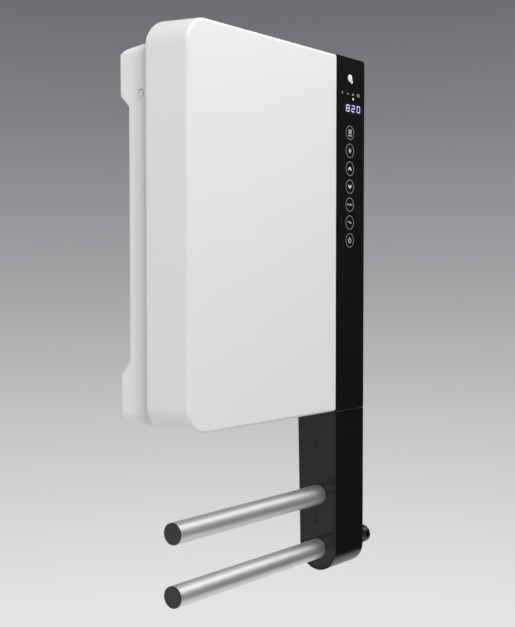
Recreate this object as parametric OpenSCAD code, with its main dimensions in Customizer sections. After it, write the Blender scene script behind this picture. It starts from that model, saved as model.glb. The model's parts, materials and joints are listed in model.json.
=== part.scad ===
// Bathroom wall fan heater with a touch column and a towel arm.
// The wall is the plane y = 0, the front faces -y, and z = 0 is the level of the wall bracket's holes.

/* [Body] */
// Width of the body, cover and column together
body_w = 338; // [322:1:380]
// Height of the body without the towel arm
body_h = 450; // [440:1:500]
// Distance from the wall to the front face
body_d = 110; // [108:1:120]
// Height of the body's top above the bracket holes
top_above_holes = 55; // [54:1:60]
// Depth of the front cover from its face to its rear rim
cover_d = 60; // [58:1:64]
// Radius of the cover's two left corners, seen from the front
cover_corner_r = 30; // [18:1:32]
// Wall of the front cover
cover_wall = 2.6; // [2:0.1:3]
// Rounding between the cover's face and its sides
cover_edge_r = 4; // [3.2:0.1:6]
// Angle by which the cover's sides flare out towards the wall
cover_flare = 4; // [0:0.5:5]

/* [Column and touch panel] */
// Width of the black column
column_w = 63.5; // [58:0.5:66]
// Depth of the column and the towel arm
column_d = 56; // [54:0.5:57]
// Wall of the column and the towel arm
column_wall = 2.5; // [2:0.1:3]
// Radius of the column's right corners, seen from the front
column_corner_r = 5; // [3:0.5:8]
// Thickness of the touch panel
panel_t = 2; // [1.6:0.1:2.4]
// Joint line between cover, column and arm
seam = 0.4; // [0.3:0.1:0.8]
// Number of touch keys
key_count = 7; // [5:1:7]
// Distance between two touch keys
key_pitch = 22.9; // [20:0.1:24]
// Depth of the first key below the body's top
first_key_drop = 95.2; // [90:0.2:100]
// Diameter of the sensor lens
lens_dia = 9.5; // [8:0.5:12]

/* [Rear housing] */
// How far the rear housing's sides lie inside the body's
housing_inset = 5.5; // [5:0.5:9]
// Wall of the rear housing
housing_wall = 3; // [2.5:0.1:3.4]
// Radius of the rear housing's corners, seen from the wall
housing_corner_r = 16; // [14:1:20]
// Gap between the wall and the recessed middle of the housing
recess_d = 13.5; // [12:0.5:14]
// Height of the upper foot's lower edge against the bracket holes
upper_foot_z = -21; // [-22:1:-20]
// Height of the lower foot's upper edge above the body's bottom
lower_foot_h = 60; // [56:1:62]
// Radius between the housing's top and its upper foot
foot_r = 14; // [13:0.5:15]
// Radius between the housing's bottom and its lower foot
lower_foot_r = 12; // [10:0.5:14]
// Rounding of the housing's side edges towards the wall
rear_edge_r = 5; // [5:0.5:6]
// Slope of the housing's top and bottom
housing_slope = 10; // [4:0.5:10]
// Distance between two intake louvres
louvre_pitch = 12; // [10:0.5:16]

/* [Wall bracket] */
// Distance between the two wall screws
bracket_span = 180; // [160:1:190]
// Diameter of the holes for the wall screws
bracket_hole_dia = 5.5; // [4.5:0.1:6.5]
// Thickness of the bracket's steel
bracket_t = 2; // [1.5:0.1:2.5]

/* [Fan] */
// Diameter of the fan wheel
wheel_dia = 56; // [50:1:58]
// Distance from the body's left side to the fan wheel
wheel_inset = 40; // [38:1:48]
// Number of blades on the wheel
blade_count = 26; // [20:1:30]
// Thickness of one blade
blade_t = 0.9; // [0.7:0.1:1.2]
// Gap between the wheel and the nearest wall
wheel_gap = 2.5; // [2:0.1:3]
// Diameter of the fan's shafts
shaft_dia = 6; // [5:0.5:8]
// Radial running clearance of the fan's shafts
running_gap = 0.05; // [0.03:0.01:0.08]
// Wall of the scroll
scroll_wall = 2; // [1.6:0.1:2.4]
// Diameter of the fan motor
motor_dia = 58; // [50:1:60]
// Length of the fan motor
motor_l = 34; // [28:1:35]

/* [Heater] */
// Height of the heating element along the air flow
heater_h = 24; // [18:1:26]
// Number of heating bars
heater_bars_n = 3; // [2:1:4]
// Distance between two fins
fin_pitch = 5; // [4:0.5:8]

/* [Towel arm] */
// Distance from the body's bottom to the lower towel bar
lower_bar_drop = 180; // [170:1:200]
// Distance between the two towel bars
bar_pitch = 70; // [60:1:80]
// Outer diameter of a towel bar
bar_dia = 25; // [22:0.5:28]
// Wall of a towel bar
bar_wall = 1.5; // [1.2:0.1:2]
// Free length of a towel bar, left of the arm
bar_l = 271.5; // [240:0.5:274]
// Reach of the robe hook from the arm's right face
hook_l = 47; // [40:1:50]
// Diameter of the robe hook's head
hook_dia = 23.5; // [20:0.5:26]

/* [Hidden] */
// Main planes
front_y = -body_d;
left_x = -body_w / 2;
right_x = body_w / 2;
top_z = top_above_holes;
bottom_z = top_z - body_h;
split_x = right_x - column_w;
rim_y = front_y + cover_d;
fit = 0.3;              // clearance of pieces that seat in each other
cut = 1;                // how far a cutting shape reaches past a face

// Chassis: the inner plate between the cover and the rear housing
chassis_t = 3;
chassis_set_back = 3;   // how far the plate lies inside the cover's rear rim
chassis_back_y = rim_y - chassis_set_back;
chassis_front_y = chassis_back_y - chassis_t;

// Column
column_x1 = split_x + seam;
column_back_y = front_y + column_d;
panel_back_y = front_y + panel_t;
column_in_x1 = column_x1 + column_wall;
column_in_x2 = right_x - column_wall;
column_mid_x = (column_x1 + right_x) / 2;
ledge_w = 3.5;
ledge_t = 2.5;
board_t = 1.6;
spring_h = 6.5;
board_front_y = panel_back_y + spring_h;
ledge_front_y = board_front_y + board_t;
board_top_z = top_z - 12;
board_bottom_z = bottom_z + 120;
key_x = column_mid_x - 1.2;
lens_x = column_mid_x - 1.5;
lens_z = top_z - 26;
display_w = 47;
display_h = 16;
display_x = column_mid_x + 1.6;
display_z = top_z - 64.5;

// Rear housing
housing_x = body_w / 2 - housing_inset;
panel_y = -recess_d;                    // outside of the recessed middle
panel_in_y = panel_y - housing_wall;    // inside of it
top_round_z = 16.5;                     // height at which the top rounding meets the wall plane
bottom_round_z = bottom_z + 19.4;       // height at which the bottom rounding meets the wall plane
lower_foot_z = bottom_z + lower_foot_h;
upper_chamfer = 13;                     // heights of the chamfers between the feet and the recess
lower_chamfer = 17;
panel_lip = 4;                          // what the recess's wall keeps around the intake panel
panel_z1 = lower_foot_z + lower_chamfer + panel_lip;
panel_z2 = upper_foot_z - upper_chamfer - panel_lip;
well_r = 5;
well_x1 = -housing_x + housing_wall + well_r - 0.8;     // the wells run into the side wall
well_x2 = split_x - 12;
top_wells = [for (x = [well_x1, well_x2]) [x, top_z - 36]];
bottom_wells = [for (x = [well_x1, well_x2]) [x, bottom_z + 34]];
panel_wells = [for (x = [well_x1 + 1.8, well_x2]) [x, (panel_z1 + panel_z2) / 2]];
well_bore_r = 3.9;
well_floor = 3;
screw_r = 2;
screw_head_r = 3.6;
screw_head_t = 2.6;
screw_l = 16;
boss_r = 4.2;
pilot_r = 1.6;

// Side fixing screws
side_screw_y = -35;
side_screw_z = upper_foot_z;
side_slot_w = 9.5;
side_slot_l = 16;
side_slot_d = 1.8;
side_head_r = 3.4;
side_head_t = 1.6;
side_screw_r = 1.55;
side_screw_l = 9;       // how far it reaches inwards from the bracket's ear

// Dust filter
filter_x1 = left_x + 48;
filter_x2 = split_x - 28;
filter_y1 = chassis_back_y + 6;
filter_t = 5;
filter_frame_w = 8;
filter_rail_w = 3;
filter_open_z = top_z - 44;     // top of the filter's mesh
filter_grip_h = 6;
filter_top_z = top_z - 22 + filter_grip_h;
guide_w = 3;
guide_lip = 4;
guide_top_z = top_z - 40;       // the guides end below the slot in the housing's top

// Fan and duct
axis_y = front_y + 48;
axis_z = bottom_z + 110;
wheel_r = wheel_dia / 2;
filter_bottom_z = axis_z + wheel_r + 27;
motor_room = 48;        // between the wheel and the column
wheel_x1 = left_x + wheel_inset;
wheel_x2 = split_x - motor_room;
wheel_l = wheel_x2 - wheel_x1;
disc_t = 1.6;
disc_count = 5;
hub_r = 8;
hub_l = 12;
side_gap = 4.5;         // between the wheel's ends and the side plates
plate_t = 2.5;
duct_x1 = wheel_x1 - side_gap;
duct_x2 = wheel_x2 + side_gap;
shaft_r = shaft_dia / 2;
duct_front_y = front_y + 16;
duct_rear_y = front_y + 66;
heater_top_z = axis_z - wheel_r - 24;
heater_bottom_z = heater_top_z - heater_h - 6;
duct_end_z = bottom_z + 12;
scroll_start = 75;      // angles round the fan axis, from the wall's direction
scroll_end = -35;
scroll_r1 = wheel_r + wheel_gap;
scroll_r2 = wheel_r + 13;
tongue_angle = 195;
motor_x1 = duct_x2 + plate_t + 3;
motor_x2 = motor_x1 + motor_l;
motor_r = motor_dia / 2;
ring_r = motor_r - 8;
bush_l = 9;
bush_r = 6;
seat_r = 10;

// Outlet in the cover's underside
outlet_x1 = duct_x1 + 2;
outlet_x2 = duct_x2 - 2;
outlet_y1 = front_y + 7;
outlet_y2 = rim_y - 11;
vane_n = 5;
rib_pitch = 32;

// Towel arm
lower_bar_z = bottom_z - lower_bar_drop;
upper_bar_z = lower_bar_z + bar_pitch;
arm_r = column_d / 2;
bar_y = front_y + arm_r;
arm_top_z = bottom_z - seam;
bar_r = bar_dia / 2;
bar_x1 = split_x - bar_l;
bar_in = 20;
socket_r = bar_r + 2.6;
side_plate_t = 3;
side_plate_inset = 2.4;
arm_screw_zs = [bottom_z - 45, bottom_z - 145];
arm_screw_head_r = 3.8;
arm_screw_head_t = 1.2;
arm_screw_sink = 1.1;   // how deep the screws' heads lie in the side plate
arm_boss_r = 5;
arm_taper = 4;          // what the arm is deeper at its top than at the lower bar
end_joint_z = lower_bar_z + bar_r + 3;      // where the side plate meets the end plate, at the bar
end_joint_slope = 21.5;
spine_x1 = column_mid_x + 4;
spine_t = 4;
spine_w = 34;
spine_top_z = bottom_z + 58;
spine_bottom_z = lower_bar_z - 15;
spine_foot_w = 24;
spigot_r = bar_r - bar_wall - 0.2;
spigot_x1 = split_x - 38;
bolt_r = 4;
bolt_head_r = 6.5;
bolt_head_t = 5;
cap_t = 3;
cap_plug_l = 12;

$fn = 64;

// ---------- helpers ----------

// A 2D shape in (y, z) drawn out along x
module along_x(x1, x2) {
    translate([x1, 0, 0]) rotate([90, 0, 90]) linear_extrude(x2 - x1) children();
}

// A 2D shape in (x, z) drawn out along y
module along_y(y1, y2) {
    translate([0, y2, 0]) rotate([90, 0, 0]) linear_extrude(y2 - y1) children();
}

// A 2D shape in (x, y) drawn out along z
module along_z(z1, z2) {
    translate([0, 0, z1]) linear_extrude(z2 - z1) children();
}

module rod_x(x1, x2, y, z, r) {
    translate([x1, y, z]) rotate([0, 90, 0]) cylinder(h = x2 - x1, r = r);
}

module rod_y(y1, y2, x, z, r) {
    translate([x, y1, z]) rotate([-90, 0, 0]) cylinder(h = y2 - y1, r = r);
}

module block(p1, p2) {
    translate(p1) cube(p2 - p1);
}

// A rectangle from (x1, z1) to (x2, z2)
module rect(x1, z1, x2, z2) {
    translate([x1, z1]) square([x2 - x1, z2 - z1]);
}

// The same with round corners
module round_rect(x1, z1, x2, z2, r) {
    rect(x1 + r, z1, x2 - r, z2);
    rect(x1, z1 + r, x2, z2 - r);
    for (x = [x1 + r, x2 - r], z = [z1 + r, z2 - r]) translate([x, z]) circle(r);
}

// A long hole from (x, z1) to (x, z2)
module long_hole(x, z1, z2, r) {
    rect(x - r, z1, x + r, z2);
    for (z = [z1, z2]) translate([x, z]) circle(r);
}

// ---------- front cover ----------

corner_x = left_x + cover_corner_r;
corner_top_z = top_z - cover_corner_r;
corner_bottom_z = bottom_z + cover_corner_r;
flare_out = (cover_d - cover_edge_r) * tan(cover_flare);

rim_band = 4.5;         // height of the eased rear rim
rim_ease_r = 9;

// Section of the cover's edge: distance from the corner's centre, depth from the face
module cover_section() {
    r = cover_corner_r;
    e = cover_edge_r;
    w = cover_wall;
    outer = [for (i = [0:8]) let (a = (90 - cover_flare) * i / 8) [r - e + e * sin(a), e - e * cos(a)]];
    inner = [for (i = [4:-1:0]) let (a = (90 - cover_flare) * i / 4)
        [r - e + (e - w) * sin(a), e - (e - w) * cos(a)]];
    rim_x = r + flare_out - rim_band * tan(cover_flare);
    rim = [for (i = [0:4]) let (a = asin(rim_band / rim_ease_r) * i / 4)
        [rim_x - rim_ease_r * (1 - cos(a)), cover_d - rim_band + rim_ease_r * sin(a)]];
    polygon(concat([[0, 0]], outer, rim, [[r + flare_out - w, cover_d]], inner, [[0, w]]));
}

// One quarter turn of the section round a left corner
module cover_corner(z, start) {
    translate([corner_x, front_y, z]) rotate([-90, 0, 0])
        rotate([0, 0, start]) rotate_extrude(angle = 90, $fn = 96) cover_section();
}

module cover_shell() {
    cover_corner(corner_top_z, 180);
    cover_corner(corner_bottom_z, 90);
    translate([corner_x, front_y, corner_bottom_z]) mirror([1, 0, 0])
        linear_extrude(corner_top_z - corner_bottom_z) cover_section();
    along_x(corner_x, split_x) translate([front_y, corner_top_z]) mirror([1, -1]) cover_section();
    along_x(corner_x, split_x) translate([front_y, corner_bottom_z]) mirror([0, 1])
        mirror([1, -1]) cover_section();
    block([corner_x, front_y, corner_bottom_z], [split_x, front_y + cover_wall, corner_top_z]);
}

// Places of the screws that hold cover, chassis and rear housing together
module at_wells(places = concat(top_wells, bottom_wells, panel_wells)) {
    for (p = places) translate([p[0], 0, p[1]]) children();
}

module front_cover() {
    color("whitesmoke") difference() {
        union() {
            cover_shell();
            at_wells() rod_y(front_y + cover_wall - 0.5, chassis_front_y, 0, 0, boss_r);
        }
        at_wells() rod_y(chassis_front_y - 14, chassis_front_y + cut, 0, 0, pilot_r);
        block([outlet_x1, outlet_y1, bottom_z - 20], [outlet_x2, outlet_y2, bottom_z + 10]);
    }
}

// The underside lies in a plane that slopes with the cover's flare
module on_underside() {
    translate([0, front_y + cover_edge_r, bottom_z]) rotate([-cover_flare, 0, 0]) children();
}

module outlet_grille() {
    y1 = outlet_y1 - front_y - cover_edge_r + fit;
    y2 = outlet_y2 - front_y - cover_edge_r - fit - 0.5;
    x1 = outlet_x1 + fit;
    x2 = outlet_x2 - fit;
    rim = 3;
    pitch = (y2 - y1 - rim) / (vane_n + 1);
    color("dimgray") on_underside() {
        difference() {
            union() {
                along_z(0.4, 9) rect(x1, y1, x2, y2);
                along_z(cover_wall + fit, cover_wall + fit + 1.6)
                    rect(x1 - 3, y1, x2 + 3, y2 + 3);
            }
            along_z(-cut, 12) rect(x1 + rim, y1 + rim, x2 - rim, y2 - rim);
        }
        for (i = [1:vane_n]) along_x(x1 + 1, x2 - 1)
            translate([y1 + rim / 2 + i * pitch, 4.6]) rotate(14) rect(-0.8, -4, 0.8, 4);
        for (x = [x1 + rib_pitch:rib_pitch:x2 - 10]) along_x(x - 0.8, x + 0.8)
            rect(y1 + 1, 1.6, y2 - 1, 7.6);
    }
}

// ---------- column ----------

module column_outline(inset) {
    round_rect(column_x1 + inset, bottom_z + inset, right_x - inset, top_z - inset,
        column_corner_r - min(inset, column_corner_r - 1));
    // only the top right corner is round
    rect(column_x1 + inset, bottom_z + inset, column_x1 + inset + column_corner_r, top_z - inset);
    rect(column_x1 + inset, bottom_z + inset, right_x - inset, bottom_z + inset + column_corner_r);
}

module control_column() {
    color([0.08, 0.08, 0.09]) difference() {
        union() {
            difference() {
                along_y(panel_back_y, column_back_y) column_outline(0);
                along_y(panel_back_y - cut, column_back_y + cut) column_outline(column_wall);
            }
            for (x = [column_in_x1 - 0.5, column_in_x2 - ledge_w])
                block([x, ledge_front_y, board_bottom_z], [x + ledge_w + 0.5,
                    ledge_front_y + ledge_t, board_top_z]);
        }
        // the left wall stops in front of the chassis
        block([column_x1 - cut, chassis_front_y, bottom_z + column_wall],
            [column_in_x1 + cut, column_back_y + cut, top_z - column_wall]);
        // the steel spine comes down through the bottom
        block([spine_x1 - fit, bar_y - spine_w / 2 - fit, bottom_z - cut],
            [spine_x1 + spine_t + fit, bar_y + spine_w / 2 + fit, bottom_z + column_wall + cut]);
    }
}

module touch_panel() {
    color([0.04, 0.04, 0.05]) difference() {
        along_y(front_y, panel_back_y) column_outline(0);
        rod_y(front_y - cut, panel_back_y + cut, lens_x, lens_z, lens_dia / 2 + fit / 2);
    }
}

// Milky lens: a shallow dome in front, a flange behind the panel
module sensor_lens() {
    r = lens_dia / 2;
    dome_h = 0.8;
    dome_r = (r * r + dome_h * dome_h) / (2 * dome_h);
    half = asin(r / dome_r);
    flange = 1.5;
    dome = [for (i = [0:6]) let (a = half * i / 6) [dome_r * sin(a), dome_r * (1 - cos(a)) - dome_h]];
    color("white") translate([lens_x, front_y, lens_z]) rotate([-90, 0, 0]) rotate_extrude($fn = 96)
        polygon(concat(dome, [[r, panel_t], [r + flange, panel_t], [r + flange, panel_t + spring_h],
            [0, panel_t + spring_h]]));
}

module display_module() {
    color([0.15, 0.15, 0.17]) block(
        [display_x - display_w / 2, panel_back_y, display_z - display_h / 2],
        [display_x + display_w / 2, board_front_y, display_z + display_h / 2]);
}

module touch_board() {
    color("darkgreen") along_y(board_front_y, ledge_front_y)
        rect(column_in_x1 + fit, board_bottom_z, column_in_x2 - fit, board_top_z);
}

module touch_springs() {
    coil_r = 4;
    color("silver") for (i = [0:key_count - 1]) difference() {
        rod_y(panel_back_y, board_front_y, key_x, top_z - first_key_drop - i * key_pitch, coil_r);
        rod_y(panel_back_y - cut, board_front_y + cut, key_x,
            top_z - first_key_drop - i * key_pitch, coil_r - 0.8);
    }
}

// ---------- rear housing ----------

// Side view of the housing's outside, inset by e; the recess is cut apart from it
module housing_profile(e) {
    nz = cos(housing_slope);
    t = tan(housing_slope);
    top_r = foot_r - e;
    low_r = lower_foot_r - e;
    top_y = -foot_r + top_r * sin(housing_slope);
    low_y = -lower_foot_r + low_r * sin(housing_slope);
    polygon([
        [chassis_back_y, bottom_round_z - low_r * nz - (low_y - chassis_back_y) * t],
        [low_y, bottom_round_z - low_r * nz],
        [-e, bottom_round_z],
        [-e, top_round_z],
        [top_y, top_round_z + top_r * nz],
        [chassis_back_y, top_round_z + top_r * nz + (top_y - chassis_back_y) * t]]);
    translate([-foot_r, top_round_z]) circle(top_r);
    translate([-lower_foot_r, bottom_round_z]) circle(low_r);
}

// The recess between the feet, grown by e into the housing
module recess_profile(e) {
    rise = 1.5 * e;     // keeps about the same wall along the chamfers
    polygon([
        [cut, upper_foot_z + rise + cut],
        [0, upper_foot_z + rise],
        [panel_y - e, upper_foot_z - upper_chamfer],
        [panel_y - e, lower_foot_z + lower_chamfer],
        [0, lower_foot_z - rise],
        [cut, lower_foot_z - rise - cut]]);
}

// Corner rounding seen from the wall
module housing_corners(e) {
    top = top_z - 18;
    bottom = bottom_z + 3.5;
    round_rect(-housing_x + e, bottom + e, housing_x - e, top - e, housing_corner_r - e);
}

// Seen from above: the housing's depth up to a rear face at y, with its two rear edges rounded
module housing_plan(y) {
    r = rear_edge_r;
    rect(-housing_x, y - 2 * body_d, housing_x, y - r);
    rect(-housing_x + r, y - r - cut, housing_x - r, y);
    for (s = [-1, 1]) translate([s * (housing_x - r), y - r]) circle(r);
}

// The same below a face that slopes from the recess's edge at z to the foot, angle from upright
module chamfer_plan(z, angle) {
    translate([0, panel_y, z]) rotate([angle, 0, 0]) translate([0, 0, -body_d])
        linear_extrude(2 * body_d) housing_plan(0);
}

module housing_solid() {
    upper_z = upper_foot_z - upper_chamfer;
    lower_z = lower_foot_z + lower_chamfer;
    intersection() {
        along_x(-housing_x, housing_x) housing_profile(0);
        along_y(chassis_back_y, 0) housing_corners(0);
        union() {
            along_z(bottom_z, top_z) housing_plan(panel_y);
            intersection() {
                along_z(upper_z, top_z) housing_plan(0);
                chamfer_plan(upper_z, -atan2(recess_d, upper_chamfer));
            }
            intersection() {
                along_z(bottom_z, lower_z) housing_plan(0);
                chamfer_plan(lower_z, atan2(recess_d, lower_chamfer));
            }
        }
    }
}

module housing_hollow() {
    intersection() {
        along_x(-housing_x + housing_wall, housing_x - housing_wall) difference() {
            housing_profile(housing_wall);
            recess_profile(housing_wall);
            // the upper foot is open to the wall, for the bracket
            rect(panel_in_y, upper_foot_z - upper_chamfer - 8, cut, top_z);
        }
        along_y(chassis_back_y - cut, -housing_wall) housing_corners(housing_wall);
    }
}

// Room for the wall bracket behind the upper foot; its lower edge follows the chamfer
module bracket_room() {
    x = housing_x - housing_wall;
    rib = 4;
    top = top_round_z + foot_r - housing_wall - 3;
    along_x(-x, x) polygon([
        [panel_y, upper_foot_z - upper_chamfer + rib],
        [cut, upper_foot_z + rib + cut * upper_chamfer / recess_d],
        [cut, top_round_z],
        [-housing_wall, top_round_z],
        [panel_y, top]]);
}

louvre_top_z = upper_foot_z - upper_chamfer - 14;
louvre_n = floor((louvre_top_z - filter_bottom_z - 8) / louvre_pitch);

module louvres() {
    slot_h = 5;
    slot_w = 58;
    slot_gap = 8;
    for (i = [0:louvre_n - 1], k = [-1:1]) {
        x = (filter_x1 + filter_x2) / 2 + k * (slot_w + slot_gap);
        z = louvre_top_z - i * louvre_pitch;
        along_y(panel_in_y - cut, panel_y + cut)
            round_rect(x - slot_w / 2, z - slot_h, x + slot_w / 2, z, slot_h / 2 - 0.01);
    }
}

grommet_x = housing_x - 42;
grommet_z = panel_z1 + 15;
grommet_r = 8;
switch_y = -33;
switch_z = bottom_z + 62;
switch_w = 13;
switch_h = 21;
hook_x = bracket_span / 2 + 20;
hook_w = 22;
hook_slot_z1 = -14;
hook_slot_z2 = 9;

// Shallow long pocket for a side screw: the screw stands at its top
module side_pocket(x) {
    run = side_slot_l - side_slot_w;
    along_x(x, x + cut + side_slot_d)
        long_hole(side_screw_y, side_screw_z - run, side_screw_z, side_slot_w / 2);
}

// Deep round wells in which the screws' heads stand, open to the wall
module wells(places, wall_y) {
    at_wells(places) rod_y(chassis_back_y, wall_y + 0.5, 0, 0, well_r);
}

module well_bores(places) {
    at_wells(places) {
        rod_y(chassis_back_y + well_floor, cut, 0, 0, well_bore_r);
        rod_y(chassis_back_y - cut, chassis_back_y + well_floor + cut, 0, 0, screw_r + 0.2);
    }
}

module rear_housing() {
    color("gainsboro") difference() {
        union() {
            difference() {
                housing_solid();
                housing_hollow();
                bracket_room();
            }
            wells(top_wells, panel_in_y);
            wells(bottom_wells, -housing_wall);
        }
        well_bores(concat(top_wells, bottom_wells));
        block([-housing_x + housing_wall, panel_in_y - cut, panel_z1],
            [housing_x - housing_wall, panel_y + cut, panel_z2]);
        // slot in the top for the dust filter
        block([filter_x1 - fit, filter_y1 - fit, guide_top_z],
            [filter_x2 + fit, filter_y1 + filter_t + fit, top_z]);
        // slots for the bracket's hooks and ears
        for (s = [-1, 1]) {
            block([s * hook_x - hook_w / 2 - 2, panel_in_y - cut, hook_slot_z1],
                [s * hook_x + hook_w / 2 + 2, panel_y + cut, hook_slot_z2]);
            block([s * (housing_x - housing_wall - 2.5) - 2.5, panel_in_y - cut,
                upper_foot_z - 12], [s * (housing_x - housing_wall - 2.5) + 2.5,
                panel_y + cut, top_round_z - 2]);
        }
        side_pocket(-housing_x - cut);
        side_pocket(housing_x - side_slot_d);
        rod_x(-housing_x - cut, housing_x + cut, side_screw_y, side_screw_z, screw_r);
        block([housing_x - housing_wall - cut, switch_y - switch_w / 2, switch_z - switch_h / 2],
            [housing_x + cut, switch_y + switch_w / 2, switch_z + switch_h / 2]);
    }
}

// Plate that closes the recess between the feet, put in from inside
module intake_panel() {
    x = housing_x - housing_wall - fit;
    z1 = panel_z1 + fit;
    z2 = panel_z2 - fit;
    rim_w = 8;
    rim_t = 2;
    reach = panel_lip - 2 * fit;
    color("gainsboro") difference() {
        union() {
            block([-x, panel_in_y, z1], [x, panel_y, z2]);
            for (z = [z1 - reach, z2 + reach - rim_w])
                block([-x, panel_in_y - rim_t, z], [x, panel_in_y, z + rim_w]);
            wells(panel_wells, panel_in_y);
        }
        well_bores(panel_wells);
        louvres();
        rod_y(panel_in_y - cut, panel_y + cut, grommet_x, grommet_z, grommet_r);
    }
}

module housing_screws() {
    head_y = chassis_back_y + well_floor;
    color("silver") at_wells() {
        rod_y(head_y, head_y + screw_head_t, 0, 0, screw_head_r);
        rod_y(head_y - screw_l, head_y, 0, 0, screw_r - 0.45);
    }
}

// ---------- chassis ----------

rim_out = (chassis_front_y - front_y - cover_edge_r) * tan(cover_flare);
plate_gap = 0.8;

module chassis_outline() {
    o = rim_out - cover_wall - plate_gap;
    round_rect(left_x - o, bottom_z - o, split_x + 20, top_z + o, cover_corner_r + o);
    round_rect(split_x - 20, bottom_z + column_wall + fit, column_in_x2 - fit,
        top_z - column_wall - fit, column_corner_r);
}

window_x1 = duct_x1 - bush_l - 1.5;
window_x2 = split_x - 2.6;
window_z1 = duct_end_z - 2;
window_z2 = axis_z + wheel_r + 14;

module chassis() {
    guide_back_y = filter_y1 + filter_t + 2;
    color([0.2, 0.2, 0.21]) difference() {
        union() {
            along_y(chassis_front_y, chassis_back_y) intersection() {
                chassis_outline();
                union() {
                    rect(left_x - 20, bottom_z - 20, split_x, top_z + 20);
                    rect(split_x - cut, bottom_z + column_wall + fit, right_x,
                        top_z - column_wall - fit);
                }
            }
            // guides in which the dust filter slides, with a stop below it
            for (s = [[filter_x1 - fit - guide_w, filter_x1 - fit, filter_x1 + guide_lip],
                      [filter_x2 + fit, filter_x2 + fit + guide_w, filter_x2 - guide_lip]]) {
                block([s[0], chassis_back_y - 0.5, filter_bottom_z],
                    [s[1], guide_back_y, guide_top_z]);
                block([min(s[0], s[2]), filter_y1 + filter_t + fit, filter_bottom_z],
                    [max(s[1], s[2]), guide_back_y, guide_top_z]);
            }
            block([filter_x1 - fit - guide_w, chassis_back_y - 0.5, filter_bottom_z - 2.5],
                [filter_x2 + fit + guide_w, guide_back_y, filter_bottom_z]);
        }
        at_wells() rod_y(chassis_front_y - cut, chassis_back_y + cut, 0, 0, screw_r + 0.2);
        along_y(chassis_front_y - cut, chassis_back_y + cut) {
            round_rect(filter_x1 + 6, filter_bottom_z + 6, filter_x2 - 6, top_z - 34, 6);
            rect(window_x1, window_z1, window_x2, window_z2);
        }
        for (z = spine_bolt_zs) rod_y(chassis_front_y - cut, chassis_back_y + cut, spine_bolt_x, z,
            bolt_r * 0.6);
    }
}

// ---------- wall bracket ----------

ear_x = housing_x - housing_wall - 0.4;
ear_reach = side_screw_y - 9;

module wall_bracket() {
    bend_r = 4;
    color("lightsteelblue") {
        difference() {
            // a strip bent forward at both ends
            along_z(upper_foot_z - 11, 8) difference() {
                union() {
                    round_rect(-ear_x, -40, ear_x, 0, bend_r);
                    rect(-ear_x, ear_reach, ear_x, -20);
                }
                rect(-ear_x + bracket_t, ear_reach - cut, ear_x - bracket_t, -20);
                round_rect(-ear_x + bracket_t, -60, ear_x - bracket_t, -bracket_t,
                    bend_r - bracket_t);
            }
            // the strip's lower edge follows the foot's chamfer
            along_x(-housing_x, housing_x) polygon([
                [cut, upper_foot_z - 20], [cut, upper_foot_z + 6],
                [-bracket_t - 0.5, upper_foot_z + 6],
                [panel_y + 1, upper_foot_z - 6.5], [panel_y + 1, upper_foot_z - 20]]);
            for (s = [-1, 1]) rod_y(-bracket_t - cut, cut, s * bracket_span / 2, 0,
                bracket_hole_dia / 2);
            rod_x(-ear_x - cut, ear_x + cut, side_screw_y, side_screw_z, side_screw_r + running_gap);
        }
        for (s = [-1, 1]) along_x(s * hook_x - hook_w / 2, s * hook_x + hook_w / 2) {
            rect(panel_in_y - 3.5, hook_slot_z1 + 3, -bracket_t + 0.5, hook_slot_z1 + 3 + bracket_t);
            rect(panel_in_y - 3.5, hook_slot_z1 + 3, panel_in_y - 3.5 + bracket_t, hook_slot_z2 - 2);
        }
    }
}

module side_screws() {
    head_x = housing_x - side_slot_d;
    color("silver") for (m = [0, 1]) mirror([m, 0, 0]) {
        rod_x(head_x, head_x + side_head_t, side_screw_y, side_screw_z, side_head_r);
        rod_x(ear_x - side_screw_l, head_x, side_screw_y, side_screw_z, side_screw_r);
    }
}

// ---------- dust filter ----------

module filter_frame() {
    w = filter_frame_w;
    color([0.35, 0.35, 0.37]) {
        along_y(filter_y1, filter_y1 + filter_t) difference() {
            rect(filter_x1, filter_bottom_z + fit, filter_x2, filter_top_z);
            rect(filter_x1 + w, filter_bottom_z + fit + w, filter_x2 - w, filter_open_z);
        }
        // two rails that stiffen the frame, and the grip at its top
        for (k = [1, 2]) {
            x = filter_x1 + (filter_x2 - filter_x1) * k / 3;
            along_y(filter_y1, filter_y1 + filter_t)
                rect(x - filter_rail_w / 2, filter_bottom_z + w, x + filter_rail_w / 2,
                    filter_open_z + w / 2);
        }
    }
}

module filter_mesh() {
    w = filter_frame_w;
    mid_y = filter_y1 + filter_t / 2;
    mesh_t = 0.8;
    color([0.25, 0.25, 0.27]) for (k = [0:2]) {
        third = (filter_x2 - filter_x1) / 3;
        x1 = k == 0 ? filter_x1 + w : filter_x1 + third * k + filter_rail_w / 2;
        x2 = k == 2 ? filter_x2 - w : filter_x1 + third * (k + 1) - filter_rail_w / 2;
        along_y(mid_y - mesh_t / 2, mid_y + mesh_t / 2)
            rect(x1, filter_bottom_z + fit + w, x2, filter_open_z);
    }
}

// ---------- fan ----------

function scroll_r(a) = scroll_r1
    * pow(scroll_r2 / scroll_r1, (scroll_start - a) / (scroll_start - scroll_end));
function scroll_points(extra, n) =
    [for (i = [0:n]) let (a = scroll_start + (scroll_end - scroll_start) * i / n)
        [axis_y + (scroll_r(a) + extra) * cos(a), axis_z + (scroll_r(a) + extra) * sin(a)]];

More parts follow.
